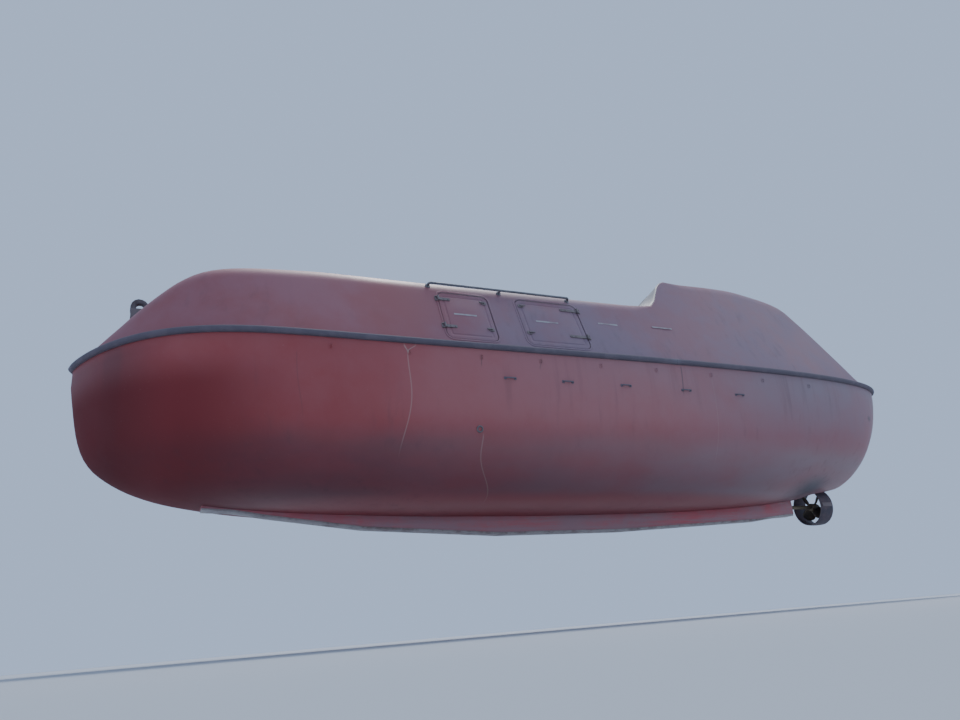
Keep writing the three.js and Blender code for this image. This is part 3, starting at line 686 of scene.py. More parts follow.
def spun(profile, place, axis, steps, across=None, merge=0.0002):
    # a closed outline of (radius, along) points turned about the axis
    clearSelection()
    bpy.ops.mesh.primitive_circle_add(vertices=len(profile), radius=1, fill_type="NOTHING")
    obj = bpy.context.object
    along = Vector(axis).normalized()
    across = Vector(across) if across else along.orthogonal().normalized()
    for vertex, (radius, height) in zip(obj.data.vertices, profile):
        vertex.co = Vector(place) + across * radius + along * height
    with editing(obj):
        bpy.ops.mesh.spin(steps=steps, angle=2 * pi, center=place, axis=along)
    with editing(obj):
        bpy.ops.mesh.remove_doubles(threshold=merge)
        bpy.ops.mesh.normals_make_consistent(inside=False)
    return obj


def closedShape(rows):
    # rings of points closed into a body: each ring's two ends are joined, the end rings are filled
    rings = [list(row) + [row[0]] for row in rows]
    clearSelection()
    bpy.ops.mesh.primitive_grid_add(x_subdivisions=len(rings[0]) - 1, y_subdivisions=len(rings) - 1)
    obj = bpy.context.object
    obj.data.vertices.foreach_set("co", [c for ring in rings for point in ring for c in point])
    obj.data.update()
    with editing(obj):
        bpy.ops.mesh.remove_doubles(threshold=0.00001)
        bpy.ops.mesh.select_mode(type="EDGE")
        bpy.ops.mesh.select_all(action="DESELECT")
        bpy.ops.mesh.select_non_manifold(extend=False)
        bpy.ops.mesh.fill_holes(sides=0)
        bpy.ops.mesh.select_all(action="SELECT")
        bpy.ops.mesh.normals_make_consistent(inside=False)
    return obj


def fromNode(nodeName, bevel):
    # a copy of a CAD node, merged, with its hard edges rounded
    copy = duplicate(nodes[nodeName], nodeName + "Copy")
    copy.parent = None
    copy.matrix_world = Matrix.Identity(4)
    with editing(copy):
        bpy.ops.mesh.remove_doubles(threshold=0.00005)
        bpy.ops.mesh.dissolve_limited(angle_limit=radians(1.5))
    if bevel:
        bevelled(copy, bevel, 40)
    return copy


# shape of hull and canopy

hullShape = {
    "bow": 5.690, "stern": -5.575, "halfBeam": 1.555, "foreBody": 3.0, "aftBody": 0.0,
    "gunwale": 0.995, "wall": 0.07, "rings": 120, "across": 30, "fine": 260,
    # powers of the plan's outline at the bow and at the stern
    "bowCurve": (3.8, 1 / 1.2), "sternCurve": (2.6, 0.205),
    # station, bottom on the centre plane, fullness at the side and at the bottom
    "stations": [
        (5.69, 0.79, 1.6, 1.6), (5.688, 0.77, 1.6, 1.6), (5.668, 0.64, 1.6, 1.6),
        (5.645, 0.5, 1.7, 1.7), (5.6, 0.27, 1.7, 1.7), (5.53, 0.06, 1.8, 1.8),
        (5.43, -0.09, 1.9, 1.9), (5.28, -0.21, 2.0, 2.0), (5.05, -0.33, 2.1, 2.1),
        (4.75, -0.42, 2.3, 2.3), (4.4, -0.48, 2.5, 2.5), (4.0, -0.53, 2.7, 2.7),
        (3.4, -0.58, 2.9, 2.9), (2.6, -0.62, 3.1, 3.1), (1.6, -0.65, 3.2, 3.2),
        (0.0, -0.665, 3.2, 3.2), (-1.5, -0.655, 3.1, 3.1), (-2.7, -0.62, 2.9, 2.9),
        (-3.5, -0.57, 2.6, 2.6), (-4.0, -0.52, 2.4, 2.5), (-4.4, -0.47, 2.2, 2.5),
        (-4.7, -0.43, 2.1, 2.4), (-5.0, -0.37, 1.9, 2.3), (-5.2, -0.27, 1.7, 2.1),
        (-5.35, -0.18, 1.4, 1.8), (-5.46, -0.06, 1.35, 1.7), (-5.535, 0.15, 1.45, 1.7),
        (-5.566, 0.4, 1.6, 1.8), (-5.574, 0.64, 1.6, 1.8), (-5.575, 0.7, 1.6, 1.8),
    ],
}

canopyShape = {
    "inset": 0.035, "wall": 0.045, "tilt": radians(22), "shoulder": 0.16, "cornerRound": 0.045,
    "tightBetween": (-0.95, -1.24, -1.75, -2.15), "rings": 130,
    # points of half a section up the side, round the shoulder, over the roof
    "points": (14, 10, 14), "leastFoot": 0.004, "leastRise": 0.002,
    # largest share of the foot that leans in, and of side and roof that the shoulder takes
    "leanShare": 0.4, "sideShare": 0.6, "roofShare": 0.4,
    # a part of the skin: its rings, its lower edge and its core's, how far the core runs past it
    "slab": {"rings": 40, "foot": 0.9, "coreFoot": 0.8, "reach": 0.2},
    # station, height of the shoulder, height of the roof on the centre plane
    "stations": [
        (5.655, 1.022, 1.03), (5.5, 1.08, 1.115), (5.3, 1.225, 1.29),
        (5.1, 1.4, 1.49), (4.9, 1.575, 1.685), (4.7, 1.735, 1.86),
        (4.5, 1.84, 1.98), (4.3, 1.885, 2.045), (4.05, 1.91, 2.077),
        (3.65, 1.93, 2.105), (3.1, 1.955, 2.135), (2.4, 1.957, 2.138),
        (1.2, 1.963, 2.143), (-1.24, 1.99, 2.17), (-1.65, 2.485, 2.32),
        (-1.76, 2.535, 2.4), (-2.2, 2.55, 2.675), (-3.05, 2.57, 2.745),
        (-3.5, 2.525, 2.7), (-3.9, 2.46, 2.62), (-4.05, 2.405, 2.56),
        (-4.2, 2.225, 2.38), (-4.7, 1.52, 1.63), (-5.05, 1.125, 1.185),
        (-5.2, 1.045, 1.075), (-5.46, 1.035, 1.05), (-5.555, 1.015, 1.022),
    ],
}


def halfBreadth(x, inset=0.0):
    beam = hullShape["halfBeam"] - inset
    if x > hullShape["foreBody"]:
        s = (x - hullShape["foreBody"]) / (hullShape["bow"] - inset - hullShape["foreBody"])
        inner, outer = hullShape["bowCurve"]
        return beam * (1 - min(s, 1.0) ** inner) ** outer
    if x < hullShape["aftBody"]:
        s = (hullShape["aftBody"] - x) / (hullShape["aftBody"] - hullShape["stern"] - inset)
        inner, outer = hullShape["sternCurve"]
        return beam * (1 - min(s, 1.0) ** inner) ** outer
    return beam


def shrinkX(x, inset):
    middle = (hullShape["bow"] + hullShape["stern"]) / 2
    half = (hullShape["bow"] - hullShape["stern"]) / 2
    return middle + (x - middle) * (half - inset) / half


def smoothTable(rows, along, samples):
    # each column of the rows as a smooth curve that never overshoots; along runs row to row
    rows = np.array(rows)
    result = []
    step = np.diff(along)
    for column in rows.T:
        slope = np.diff(column) / step
        tangent = np.zeros(len(column))
        for k in range(1, len(column) - 1):
            a, b = slope[k - 1], slope[k]
            if a * b > 0:
                w1, w2 = 2 * step[k] + step[k - 1], step[k] + 2 * step[k - 1]
                tangent[k] = (w1 + w2) / (w1 / a + w2 / b)
        tangent[0], tangent[-1] = slope[0], slope[-1]
        place = np.clip(np.searchsorted(along, samples, side="right") - 1, 0, len(step) - 1)
        t = (samples - along[place]) / step[place]
        h = step[place]
        result.append(
            (2 * t ** 3 - 3 * t ** 2 + 1) * column[place]
            + (t ** 3 - 2 * t ** 2 + t) * h * tangent[place]
            + (3 * t ** 2 - 2 * t ** 3) * column[place + 1]
            + (t ** 3 - t ** 2) * h * tangent[place + 1]
        )
    return np.array(result).T


# samples of the tables: closer over the first and the last bit of their outline
sampling = {"start": 0.05, "end": 0.25, "counts": (200, 2400, 500), "power": 5}


def evenStations(rows, heightColumn, count, first=None, last=None):
    # the table sampled at stations that lie evenly along its outline in plan and in profile
    table = np.array(rows)
    along = np.concatenate([[0], np.cumsum(np.hypot(np.diff(table[:, 0]),
                                                    np.diff(table[:, heightColumn])))])
    total, start, end = along[-1], sampling["start"], sampling["end"]
    startCount, middleCount, endCount = sampling["counts"]
    fine = np.concatenate([
        np.linspace(0, start, startCount, endpoint=False),
        np.linspace(start, total - end, middleCount),
        total - end * (1 - np.linspace(0, 1, endCount)[1:]) ** sampling["power"],
    ])
    dense = smoothTable(table, along, fine)
    if first is not None:
        dense = dense[(dense[:, 0] <= first) & (dense[:, 0] >= last)]
    breadth = np.array([halfBreadth(x) for x in dense[:, 0]])
    length = np.concatenate([[0], np.cumsum(np.sqrt(
        np.diff(dense[:, 0]) ** 2 + np.diff(dense[:, heightColumn]) ** 2 + np.diff(breadth) ** 2))])
    wanted = np.linspace(0, length[-1], count)
    return np.array([np.interp(wanted, length, dense[:, k]) for k in range(dense.shape[1])]).T


def evenPoints(points, count):
    points = np.array(points)
    length = np.concatenate([[0], np.cumsum(np.hypot(*np.diff(points, axis=0).T))])
    if length[-1] < 1e-9:
        return np.repeat(points[:1], count, axis=0)
    wanted = np.linspace(0, length[-1], count)
    return np.column_stack([np.interp(wanted, length, points[:, k]) for k in (0, 1)])


def hullRings(inset=0.0, top=None):
    gunwale = hullShape["gunwale"]
    rings = []
    for station, bottom, sideFull, bottomFull in evenStations(hullShape["stations"], 1,
                                                             hullShape["rings"]):
        x = shrinkX(station, inset)
        breadth = halfBreadth(x, inset)
        low = bottom + inset
        turn = np.linspace(0, pi / 2, hullShape["fine"])
        y = breadth * np.sin(turn) ** (2 / sideFull)
        z = gunwale - (gunwale - low) * np.cos(turn) ** (2 / bottomFull)
        half = evenPoints(np.column_stack([y, z]), hullShape["across"])
        ring = [(x, p, q) for p, q in half[::-1]]
        ring += [(x, -p, q) for p, q in half[1:]]
        if top:
            ring = [(x, breadth, top)] + ring + [(x, -breadth, top)]
        rings.append(ring)
    return rings


def shoulderRound(station):
    # the roof's edge is soft, but tight at the corners of the windscreen
    soft, tight = canopyShape["shoulder"], canopyShape["cornerRound"]
    start, full, end, gone = canopyShape["tightBetween"]
    share = np.interp(-station, [-start, -full, -end, -gone], [0, 1, 1, 0])
    return soft + (tight - soft) * share


def canopyHalf(station, shoulder, crown, inset, footZ):
    # half a section from the foot up to the roof's middle, and its station
    x = shrinkX(station, inset)
    gunwale = hullShape["gunwale"]
    tilt = canopyShape["tilt"]
    foot = max(halfBreadth(x) - canopyShape["inset"] - inset / cos(tilt), canopyShape["leastFoot"])
    top, middle = shoulder - inset, crown - inset
    corner = (max(foot - max(top - gunwale, 0) * tan(tilt), foot * canopyShape["leanShare"]),
              max(top, gunwale + canopyShape["leastRise"] - inset))
    cut = min(shoulderRound(station), (corner[1] - gunwale) * canopyShape["sideShare"],
              corner[0] * canopyShape["roofShare"])
    sideCount, bendCount, roofCount = canopyShape["points"]

    def roofAt(y):
        return corner[1] + (middle - corner[1]) * (1 - (y / corner[0]) ** 2)

    lean = Vector((foot - corner[0], gunwale - corner[1])).normalized()
    before = (corner[0] + lean.x * cut, corner[1] + lean.y * cut)
    after = (corner[0] - cut, roofAt(corner[0] - cut))
    side = evenPoints([(foot, footZ), (foot, gunwale), before], sideCount)
    bend = []
    for s in np.linspace(0, 1, bendCount)[1:-1]:
        bend.append([(1 - s) ** 2 * before[k] + 2 * s * (1 - s) * corner[k] + s * s * after[k]
                     for k in (0, 1)])
    roof = [(after[0] * (1 - s), roofAt(after[0] * (1 - s))) for s in np.linspace(0, 1, roofCount)]
    return x, [tuple(p) for p in side] + [tuple(p) for p in bend] + roof


def canopyRings(inset=0.0, footZ=None, count=canopyShape["rings"], first=None, last=None):
    footZ = hullShape["gunwale"] if footZ is None else footZ
    rings = []
    for row in evenStations(canopyShape["stations"], 2, count, first, last):
        x, half = canopyHalf(*row, inset, footZ)
        ring = [(x, y, z) for y, z in half]
        ring += [(x, -y, z) for y, z in half[-2::-1]]
        rings.append(ring)
    return rings


def canopySlab(outer, inner, first, last):
    # the canopy's skin between two depths, over some stations only
    rings, foot, coreFoot, reach = canopyShape["slab"].values()
    obj = closedShape(canopyRings(outer, foot, rings, first, last))
    core = closedShape(canopyRings(inner, coreFoot, rings, first + reach, last - reach))
    return boolean(obj, core)


# frames on the surface


def sidePanel():
    # u runs aft from amidships along the port side, v up its slope, w outwards
    tilt = canopyShape["tilt"]
    y = hullShape["halfBeam"] - canopyShape["inset"]
    return Matrix((
        (-1, 0, 0, 0),
        (0, -sin(tilt), cos(tilt), y),
        (0, cos(tilt), sin(tilt), hullShape["gunwale"]),
        (0, 0, 0, 1),
    ))


def centrePanel(x, z, pitch):
    # u across, v up the slope and w outwards, on the centre plane
    w = Vector((sin(pitch), 0, cos(pitch)))
    u = Vector((0, 1 if pitch >= 0 else -1, 0))
    v = w.cross(u)
    return Matrix(((u.x, v.x, w.x, x), (u.y, v.y, w.y, 0), (u.z, v.z, w.z, z), (0, 0, 0, 1)))


def inFrame(obj, matrix):
    settle(obj)
    obj.data.transform(matrix)
    return obj


portPanel = sidePanel()

# hull

tunnelShape = {
    "radius": 0.35, "front": -4.25, "height": -0.598, "skin": 0.07, "behind": 1.7, "past": 0.2,
}
corePast = 0.3  # how far a core runs past the shell that it hollows


def tunnelBore(extra, length):
    # the room round the nozzle, reaching aft from its front end
    front = tunnelShape["front"] + extra
    return cylinder(tunnelShape["radius"] + extra, length,
                    (front - length / 2, 0, tunnelShape["height"]), (1, 0, 0), 64)


hull = closedShape(hullRings())
boolean(hull, tunnelBore(0, tunnelShape["behind"]))
room = closedShape(hullRings(hullShape["wall"], hullShape["gunwale"] + corePast))
boolean(room, tunnelBore(tunnelShape["skin"], tunnelShape["behind"] + tunnelShape["past"]))
boolean(hull, room)
finishPiece(hull, "hullShell", "boat", "hullGelcoat", ["hull"], True)
print("hull", len(hull.data.polygons), "faces")

# canopy and its openings

doorShape = {
    # u from, u to, v from, v to, heights of the hinges as shares, hinge side, length of the strap
    "fwd": (-1.905, -1.255, 0.13, 0.88, (0.25, 0.84), -1, 0.15),
    "aft": (-0.880, -0.010, 0.13, 0.90, (0.26, 0.85), 1, 0.25),
    "corner": 0.09, "cut": (-0.12, 0.12), "leaf": (-0.045, -0.001), "leafBevel": 0.004,
    # border, width, lower and upper face of the seal and of the flange on the canopy
    "seal": (0.001, 0.0065, -0.04, -0.0035), "rim": (0.026, 0.025, -0.01, 0.004),
    "rimBevel": 0.003,
    "flange": 0.046,      # flat border round the raised middle
    "rise": 0.0045,
    "crest": 0.002,       # raised middle above the canopy's skin
}
openingGap = 0.007

hatchShape = {  # place, pitch, half width, half length, stations that its patch needs
    "bow": (4.700, 1.860, atan2(295, 400), 0.27, 0.24, 5.2, 4.2),
    "cockpit": (-2.500, 2.700, atan2(70, 850), 0.29, 0.29, -1.9, -3.1),
    "aft": (-4.440, 2.020, -atan2(750, 500), 0.27, 0.24, -3.9, -5.0),
}
hatchOpening = {"corner": 0.08, "cut": (-0.2, 0.12)}

windowShape = {
    "frame": (-1.450, 2.340, atan2(490, 410)), "across": (0.04, 0.62), "up": 0.215, "corner": 0.06,
    "depths": (-0.26, 0.2), "stations": (-1.1, -2.1), "gap": 0.0003, "seal": 0.012,
    "sealWidth": 0.030,
    # depths of the outer and the inner side under the canopy's skin
    "pane": (0.014, 0.024), "rim": (-0.006, 0.034),
}
front = centrePanel(*windowShape["frame"])


def around(low, high, border):
    # the corners of an outline moved outwards by the border
    return (low[0] - border, low[1] - border), (high[0] + border, high[1] + border)


def windowCorners(sign):
    a, b = sorted(sign * u for u in windowShape["across"])
    return (a, -windowShape["up"]), (b, windowShape["up"])


canopy = closedShape(canopyRings())
boolean(canopy, closedShape(canopyRings(canopyShape["wall"], hullShape["gunwale"] - corePast)))
for key in ("fwd", "aft"):
    u0, u1, v0, v1 = doorShape[key][:4]
    for shipSide in ("port", "stbd"):
        hole = inFrame(roundedPlate((u0, v0), (u1, v1), doorShape["corner"],
                                    *doorShape["cut"]), portPanel)
        boolean(canopy, flipped(hole) if shipSide == "stbd" else hole)
for x, z, pitch, across, up, *patch in hatchShape.values():
    hole = roundedPlate((-across, -up), (across, up), hatchOpening["corner"], *hatchOpening["cut"])
    boolean(canopy, inFrame(hole, centrePanel(x, z, pitch)))
for sign in (1, -1):
    boolean(canopy, inFrame(roundedPlate(*windowCorners(sign), windowShape["corner"],
                                         *windowShape["depths"]), front))
finishPiece(canopy, "canopyShell", "boat", "canopyGelcoat", ["canopy"], True)
print("canopy", len(canopy.data.polygons), "faces")

# hinges of doors and hatches

hinge = {
    "radius": 0.0125, "knuckle": 0.043, "eye": 0.0138, "eyeAt": 0.0293, "height": 0.020,
    "sides": 20, "footTop": 0.018, "footBevel": 0.002,
}


def knuckleAt(place, direction, length):
    return cylinder(hinge["radius"], length, (*place, hinge["height"]), direction, hinge["sides"])


# side doors

strapShape = {"half": 0.02, "corner": 0.012, "low": -0.006, "top": 0.010}
boltShape = {"radius": 0.0095, "depth": 0.006, "height": 0.012, "fromEnd": (0.025, 0.08)}
# span: from and to, measured from the hinge's line, or for a latch from the leaf's free edge
# plate: half its height, its corner, lower and upper face
lugPad = {"span": (-0.040, -0.014), "foot": (-0.034, -0.004), "footLow": -0.008,
          "plate": (0.038, 0.009, -0.004, 0.006)}
latchShape = {
    "span": (-0.030, -0.098), "plate": (0.026, 0.012, -0.004, 0.006),
    "radius": 0.012, "depth": 0.022, "height": 0.012, "at": -0.064, "end": -0.128,
    "half": 0.008, "thick": 0.010, "bevel": 0.003,
}
# insets of the leaf's outer face: width, and how far it steps out
doorLeafSteps = [(doorShape["flange"], 0), (0.007, -doorShape["rise"]), (0.016, 0),
                 (0.008, doorShape["rise"] + doorShape["crest"])]


def doorLeaf(u0, u1, v0, v1):
    gap = openingGap
    leaf = roundedPlate((u0 + gap, v0 + gap), (u1 - gap, v1 - gap), doorShape["corner"] - gap,
                        *doorShape["leaf"], 8)
    with editing(leaf):
        bpy.ops.mesh.select_mode(type="FACE")
        bpy.ops.mesh.select_all(action="DESELECT")
        mesh = bmesh.from_edit_mesh(leaf.data)
        for face in mesh.faces:
            face.select_set(face.normal.z > 0.9)
        bmesh.update_edit_mesh(leaf.data)
        for thickness, depth in doorLeafSteps:
            bpy.ops.mesh.inset(thickness=thickness, depth=depth)
    return inFrame(bevelled(leaf, doorShape["leafBevel"], 30), portPanel)


def doorFittings(u0, u1, v0, v1, shares, hingeSide, reach):
    # straps that turn with the leaf, lugs that stay, and the latches on the free edge
    hingeU, freeU = (u0, u1) if hingeSide < 0 else (u1, u0)
    inward = -hingeSide
    places = [v0 + (v1 - v0) * share for share in shares]

    def span(edge, near, far):
        return sorted((edge + inward * near, edge + inward * far))

    def padAt(edge, near, far, v, half, corner, low, top):
        a, b = span(edge, near, far)
        return roundedPlate((a, v - half), (b, v + half), corner, low, top, 4)

    straps, lugs, latches = [], [], []
    for v in places:
        straps.append(padAt(hingeU, 0, reach, v, *strapShape.values()))
        for fromEnd in boltShape["fromEnd"]:
            straps.append(cylinder(boltShape["radius"], boltShape["depth"],
                                   (hingeU + inward * (reach - fromEnd), v, boltShape["height"]),
                                   sides=12))
        straps.append(knuckleAt((hingeU, v), (0, 1, 0), hinge["knuckle"]))
        for way in (-1, 1):
            middle, half = v + way * hinge["eyeAt"], hinge["eye"] / 2
            a, b = span(hingeU, *lugPad["foot"])
            lugs.append(knuckleAt((hingeU, middle), (0, 1, 0), hinge["eye"]))
            lugs.append(block((a, middle - half, lugPad["footLow"]),
                              (b, middle + half, hinge["footTop"]), hinge["footBevel"]))
        lugs.append(padAt(hingeU, *lugPad["span"], v, *lugPad["plate"]))
        latches.append(padAt(freeU, *latchShape["span"], v, *latchShape["plate"]))
        a, b = span(freeU, latchShape["at"], latchShape["end"])
        at, height, half = freeU + inward * latchShape["at"], latchShape["height"], latchShape["half"]
        latches.append(cylinder(latchShape["radius"], latchShape["depth"], (at, v, height), sides=16))
        latches.append(block((a, v - half, height), (b, v + half, height + latchShape["thick"]),
                             latchShape["bevel"]))
    return [inFrame(joinAll("fittings", parts), portPanel) for parts in (straps, lugs, latches)]


for key in ("fwd", "aft"):
    u0, u1, v0, v1 = doorShape[key][:4]
    leaf = doorLeaf(u0, u1, v0, v1)
    straps, lugs, latches = doorFittings(*doorShape[key])
    low, high = (u0, v0), (u1, v1)
    border, *values = doorShape["seal"]
    gasket = frameRing(*around(low, high, border), doorShape["corner"], *values)
    border, *values = doorShape["rim"]
    flange = frameRing(*around(low, high, border), doorShape["corner"] + border, *values)
    inFrame(gasket, portPanel)
    inFrame(bevelled(flange, doorShape["rimBevel"], 30), portPanel)
    for shipSide, ending in (("port", "Port"), ("stbd", "Starboard")):
        pieces = [leaf, straps, lugs, latches, gasket, flange]
        if shipSide == "stbd":
            pieces = [mirrored(piece, piece.name + ending) for piece in pieces]
        title = key + ending + "Door"
        door = f"{shipSide}_{key}_door"
        finishPiece(pieces[0], title + "Leaf", door, "canopyGelcoat", [f"door_{shipSide}_{key}"], True)
        finishPiece(pieces[1], title + "Straps", door, "fittingSteel")
        finishPiece(pieces[2], title + "Lugs", "boat", "fittingSteel")
        finishPiece(pieces[3], title + "Latches", door, "fittingSteel")
        finishPiece(pieces[4], title + "Seal", "boat", "gasketRubber")
        finishPiece(pieces[5], title + "Flange", "boat", "canopyGelcoat")
print("side doors made")

# hatches

hatchParts = {
    "corner": 0.07,
    # border beyond the opening, corner, width, depths of the outer and the inner side
    "rim": (-0.011, 0.066, 0.05, -0.012, 0.02), "coaming": (0.03, 0.11, 0.0295, -0.014, 0.02),
    "coamingBevel": 0.003,
    # shares of the half width at which hinges and handles sit
    "hingeAt": 0.55, "handleAt": 0.5,
    "strap": {"half": 0.02, "length": 0.16, "corner": 0.012, "rise": 0.012},
    "foot": {"near": 0.004, "far": 0.05, "low": -0.03},
    "knob": {"radius": 0.013, "depth": 0.05, "at": 0.075, "height": -0.002},
    "handle": {"half": 0.009, "near": 0.02, "far": 0.09, "low": 0.016, "top": 0.026, "bevel": 0.003},
}


def slabPart(outer, inner, stations, cutter, panel):
    # the part of the canopy's skin, between two depths, that lies inside the cutter
    return boolean(canopySlab(outer, inner, *stations), inFrame(cutter, panel), "INTERSECT")


def hatchRing(kind, low, high, patch, panel):
    border, corner, width, outer, inner = hatchParts[kind]
    ring = frameRing(*around(low, high, border), corner, width, *hatchOpening["cut"])
    return slabPart(outer, inner, patch, ring, panel)


def hatchHinge(u, up):
    # what turns with the leaf, and the lugs that stay
    strap, foot = hatchParts["strap"], hatchParts["foot"]
    metal = [
        knuckleAt((u, up), (1, 0, 0), hinge["knuckle"]),
        roundedPlate((u - strap["half"], up - strap["length"]), (u + strap["half"], up),
                     strap["corner"], -strap["rise"], strap["rise"], 4),
    ]
    fixed = []
    for way in (-1, 1):
        middle, half = u + way * hinge["eyeAt"], hinge["eye"] / 2
        fixed.append(knuckleAt((middle, up), (1, 0, 0), hinge["eye"]))
        fixed.append(block((middle - half, up + foot["near"], foot["low"]),
                           (middle + half, up + foot["far"], hinge["footTop"]), hinge["footBevel"]))
    return metal, fixed


def hatchHandle(u, up):
    knob, handle = hatchParts["knob"], hatchParts["handle"]
    half, bevel = handle["half"], handle["bevel"]
    return [
        cylinder(knob["radius"], knob["depth"], (u, -up + knob["at"], knob["height"]), sides=16),
        block((u - half, -up + handle["near"], handle["low"]),
              (u + half, -up + handle["far"], handle["top"]), bevel),
    ]


for key, (x, z, pitch, across, up, *patch) in hatchShape.items():
    panel = centrePanel(x, z, pitch)
    low, high = (-across, -up), (across, up)
    plate = roundedPlate(*around(low, high, -openingGap), hatchParts["corner"], *hatchOpening["cut"], 8)
    leaf = slabPart(0.0, canopyShape["wall"], patch, plate, panel)
    leaf = joinAll("leaf", [leaf, hatchRing("rim", low, high, patch, panel)])
    coaming = hatchRing("coaming", low, high, patch, panel)
    bevelled(coaming, hatchParts["coamingBevel"], 50)
    metal, fixed = [], []
    for sign in (-1, 1):
        turning, staying = hatchHinge(sign * hatchParts["hingeAt"] * across, up)
        metal += turning
        fixed += staying
    for sign in (-1, 1):
        metal += hatchHandle(sign * hatchParts["handleAt"] * across, up)
    metal = inFrame(joinAll("metal", metal), panel)
    fixed = inFrame(joinAll("fixed", fixed), panel)
    body = f"{key}_hatch"
    finishPiece(leaf, key + "HatchLeaf", body, "canopyGelcoat", [f"hatch_{key}"], True)
    finishPiece(metal, key + "HatchMetal", body, "fittingSteel")
    finishPiece(fixed, key + "HatchLugs", "boat", "fittingSteel")
    finishPiece(coaming, key + "HatchCoaming", "boat", "canopyGelcoat")
print("hatches made")

# front windows

for sign, name, title in ((1, "port", "port"), (-1, "stbd", "starboard")):
    low, high = windowCorners(sign)
    stations, depths, corner = (windowShape[key] for key in ("stations", "depths", "corner"))
    pane = slabPart(*windowShape["pane"], stations, roundedPlate(
        *around(low, high, -windowShape["gap"]), corner, *depths, 8), front)
    rim = slabPart(*windowShape["rim"], stations, frameRing(
        *around(low, high, windowShape["seal"]), corner + windowShape["seal"],
        windowShape["sealWidth"], *depths), front)
    finishPiece(pane, title + "WindscreenPane", "boat", "windowGlass", [f"window_front_{name}"])
    finishPiece(rim, title + "WindscreenSeal", "boat", "gasketRubber")
print("windows made")

# fender

fenderShape = {
    "depth": 0.045, "half": 0.034, "height": 1.009, "joint": (-1.150, -1.154), "clear": 0.0003,
    "rows": 70, "steps": 12, "flat": 0.35, "squash": 0.04, "slopeStep": 0.003,
    # samples for the spacing of the rows, and how much closer they come near the end
    "samples": 3000, "crowding": 3,
    # how far short of the ends the outline is sampled
    "short": 1e-5, "least": 1e-6,
}


def fenderRow(at, out):
    # the fender's section at a point of the gunwale
    depth, half, height = fenderShape["depth"], fenderShape["half"], fenderShape["height"]
    flat, squash, steps = fenderShape["flat"], fenderShape["squash"], fenderShape["steps"]
    row = [(fenderShape["clear"], -half)]
    for k in range(steps + 1):
        turn = -pi / 2 + pi * k / steps
        row.append((depth * (flat + (1 - flat) * cos(turn)),
                    half * sin(turn) * (1 - squash * cos(2 * turn))))
    row.append((fenderShape["clear"], half))
    return [(at.x + out.x * d, at.y + out.y * d, height + h) for d, h in row]


def gunwaleRow(x):
    step, least = fenderShape["slopeStep"], fenderShape["least"]
    ahead, behind = min(x + step, hullShape["bow"] - least), max(x - step, hullShape["stern"] + least)
    slope = (halfBreadth(ahead) - halfBreadth(behind)) / (ahead - behind)
    return fenderRow(Vector((x, halfBreadth(x))), Vector((-slope, 1)).normalized())


def planStations(start, end):
    # stations spaced evenly along the gunwale, closer where it turns in
    toEnd = 1 - np.linspace(0, 1, fenderShape["samples"])[:-1]
    xs = end + (start - end) * (toEnd ** fenderShape["crowding"])
    ys = np.array([halfBreadth(x) for x in xs])
    length = np.concatenate([[0], np.cumsum(np.hypot(np.diff(xs), np.diff(ys)))])
    return np.interp(np.linspace(0, length[-1], fenderShape["rows"]), length, xs)


def makeFender(start, end, way):
    rows = [gunwaleRow(x) for x in planStations(start, end - way * fenderShape["short"])[:-1]]
    rows.append(fenderRow(Vector((end, fenderShape["clear"])), Vector((way, 0))))
    return closedShape(rows)


foreJoint, aftJoint = fenderShape["joint"]
fenders = {"fore": makeFender(foreJoint, hullShape["bow"], 1),
           "aft": makeFender(aftJoint, hullShape["stern"], -1)}
for node, fender in fenders.items():
    finishPair(fender, node + "Fender", "fenderRubber", "fender_{}_" + node)
print("fender made")

# rails

railShape = {
    "from": 0.090, "to": 1.990, "mid": 1.060, "v": 0.975, "w": 0.050, "radius": 0.015,
    "below": -0.03, "bend": 0.035, "foot": 0.034, "footTop": 0.031,
    "footDepth": 0.030, "footAt": -0.016,
    "screws": {"count": 3, "turn": 0.5, "out": 0.023, "height": 0.001, "radius": 0.005, "depth": 0.008},
}


def makeRail():
    start, end, mid, v, w, radius, below = (railShape[key] for key in (
        "from", "to", "mid", "v", "w", "radius", "below"))
    screws = railShape["screws"]
    corners = [(-start, v, below), (-start, v, w), (-end, v, w), (-end, v, below)]
    parts = [tube(roundedPath(corners, railShape["bend"]), radius, 16),
             cylinder(radius, w - below, (-mid, v, (w + below) / 2), sides=16)]
    for u in (start, mid, end):
        parts.append(cylinder(railShape["foot"], railShape["footDepth"], (-u, v, railShape["footAt"]),
                              top=railShape["footTop"]))
        for k in range(screws["count"]):
            turn = 2 * pi * k / screws["count"] + screws["turn"]
            place = (-u + screws["out"] * cos(turn), v + screws["out"] * sin(turn), screws["height"])
            parts.append(cylinder(screws["radius"], screws["depth"], place, sides=8))
    return inFrame(joinAll("rail", parts), portPanel)


finishPair(makeRail(), "rail", "railSteel", "rail_{}")
print("rails made")

# nozzle and propeller

nozzleShape = {
    "x": -4.650, "z": -0.598, "length": 0.260, "outer": 0.276, "inner": 0.255, "stock": 0.032,
    "stockTop": 0.24, "stockFoot": 0.268, "steps": 24, "taper": 0.25,
    # radius, depth, height over the axis, radius at the top
    "collar": (0.06, 0.045, 0.286, 0.05),
    # low and high corner from the stock's line, bevel
    "tiller": ((-0.03, -0.022, 0.216), (0.26, 0.022, 0.256), 0.006),
    # plates on the sides: how far out, half sizes, bevel
    "plates": (0.278, (0.10, 0.006, 0.03), 0.004),
}


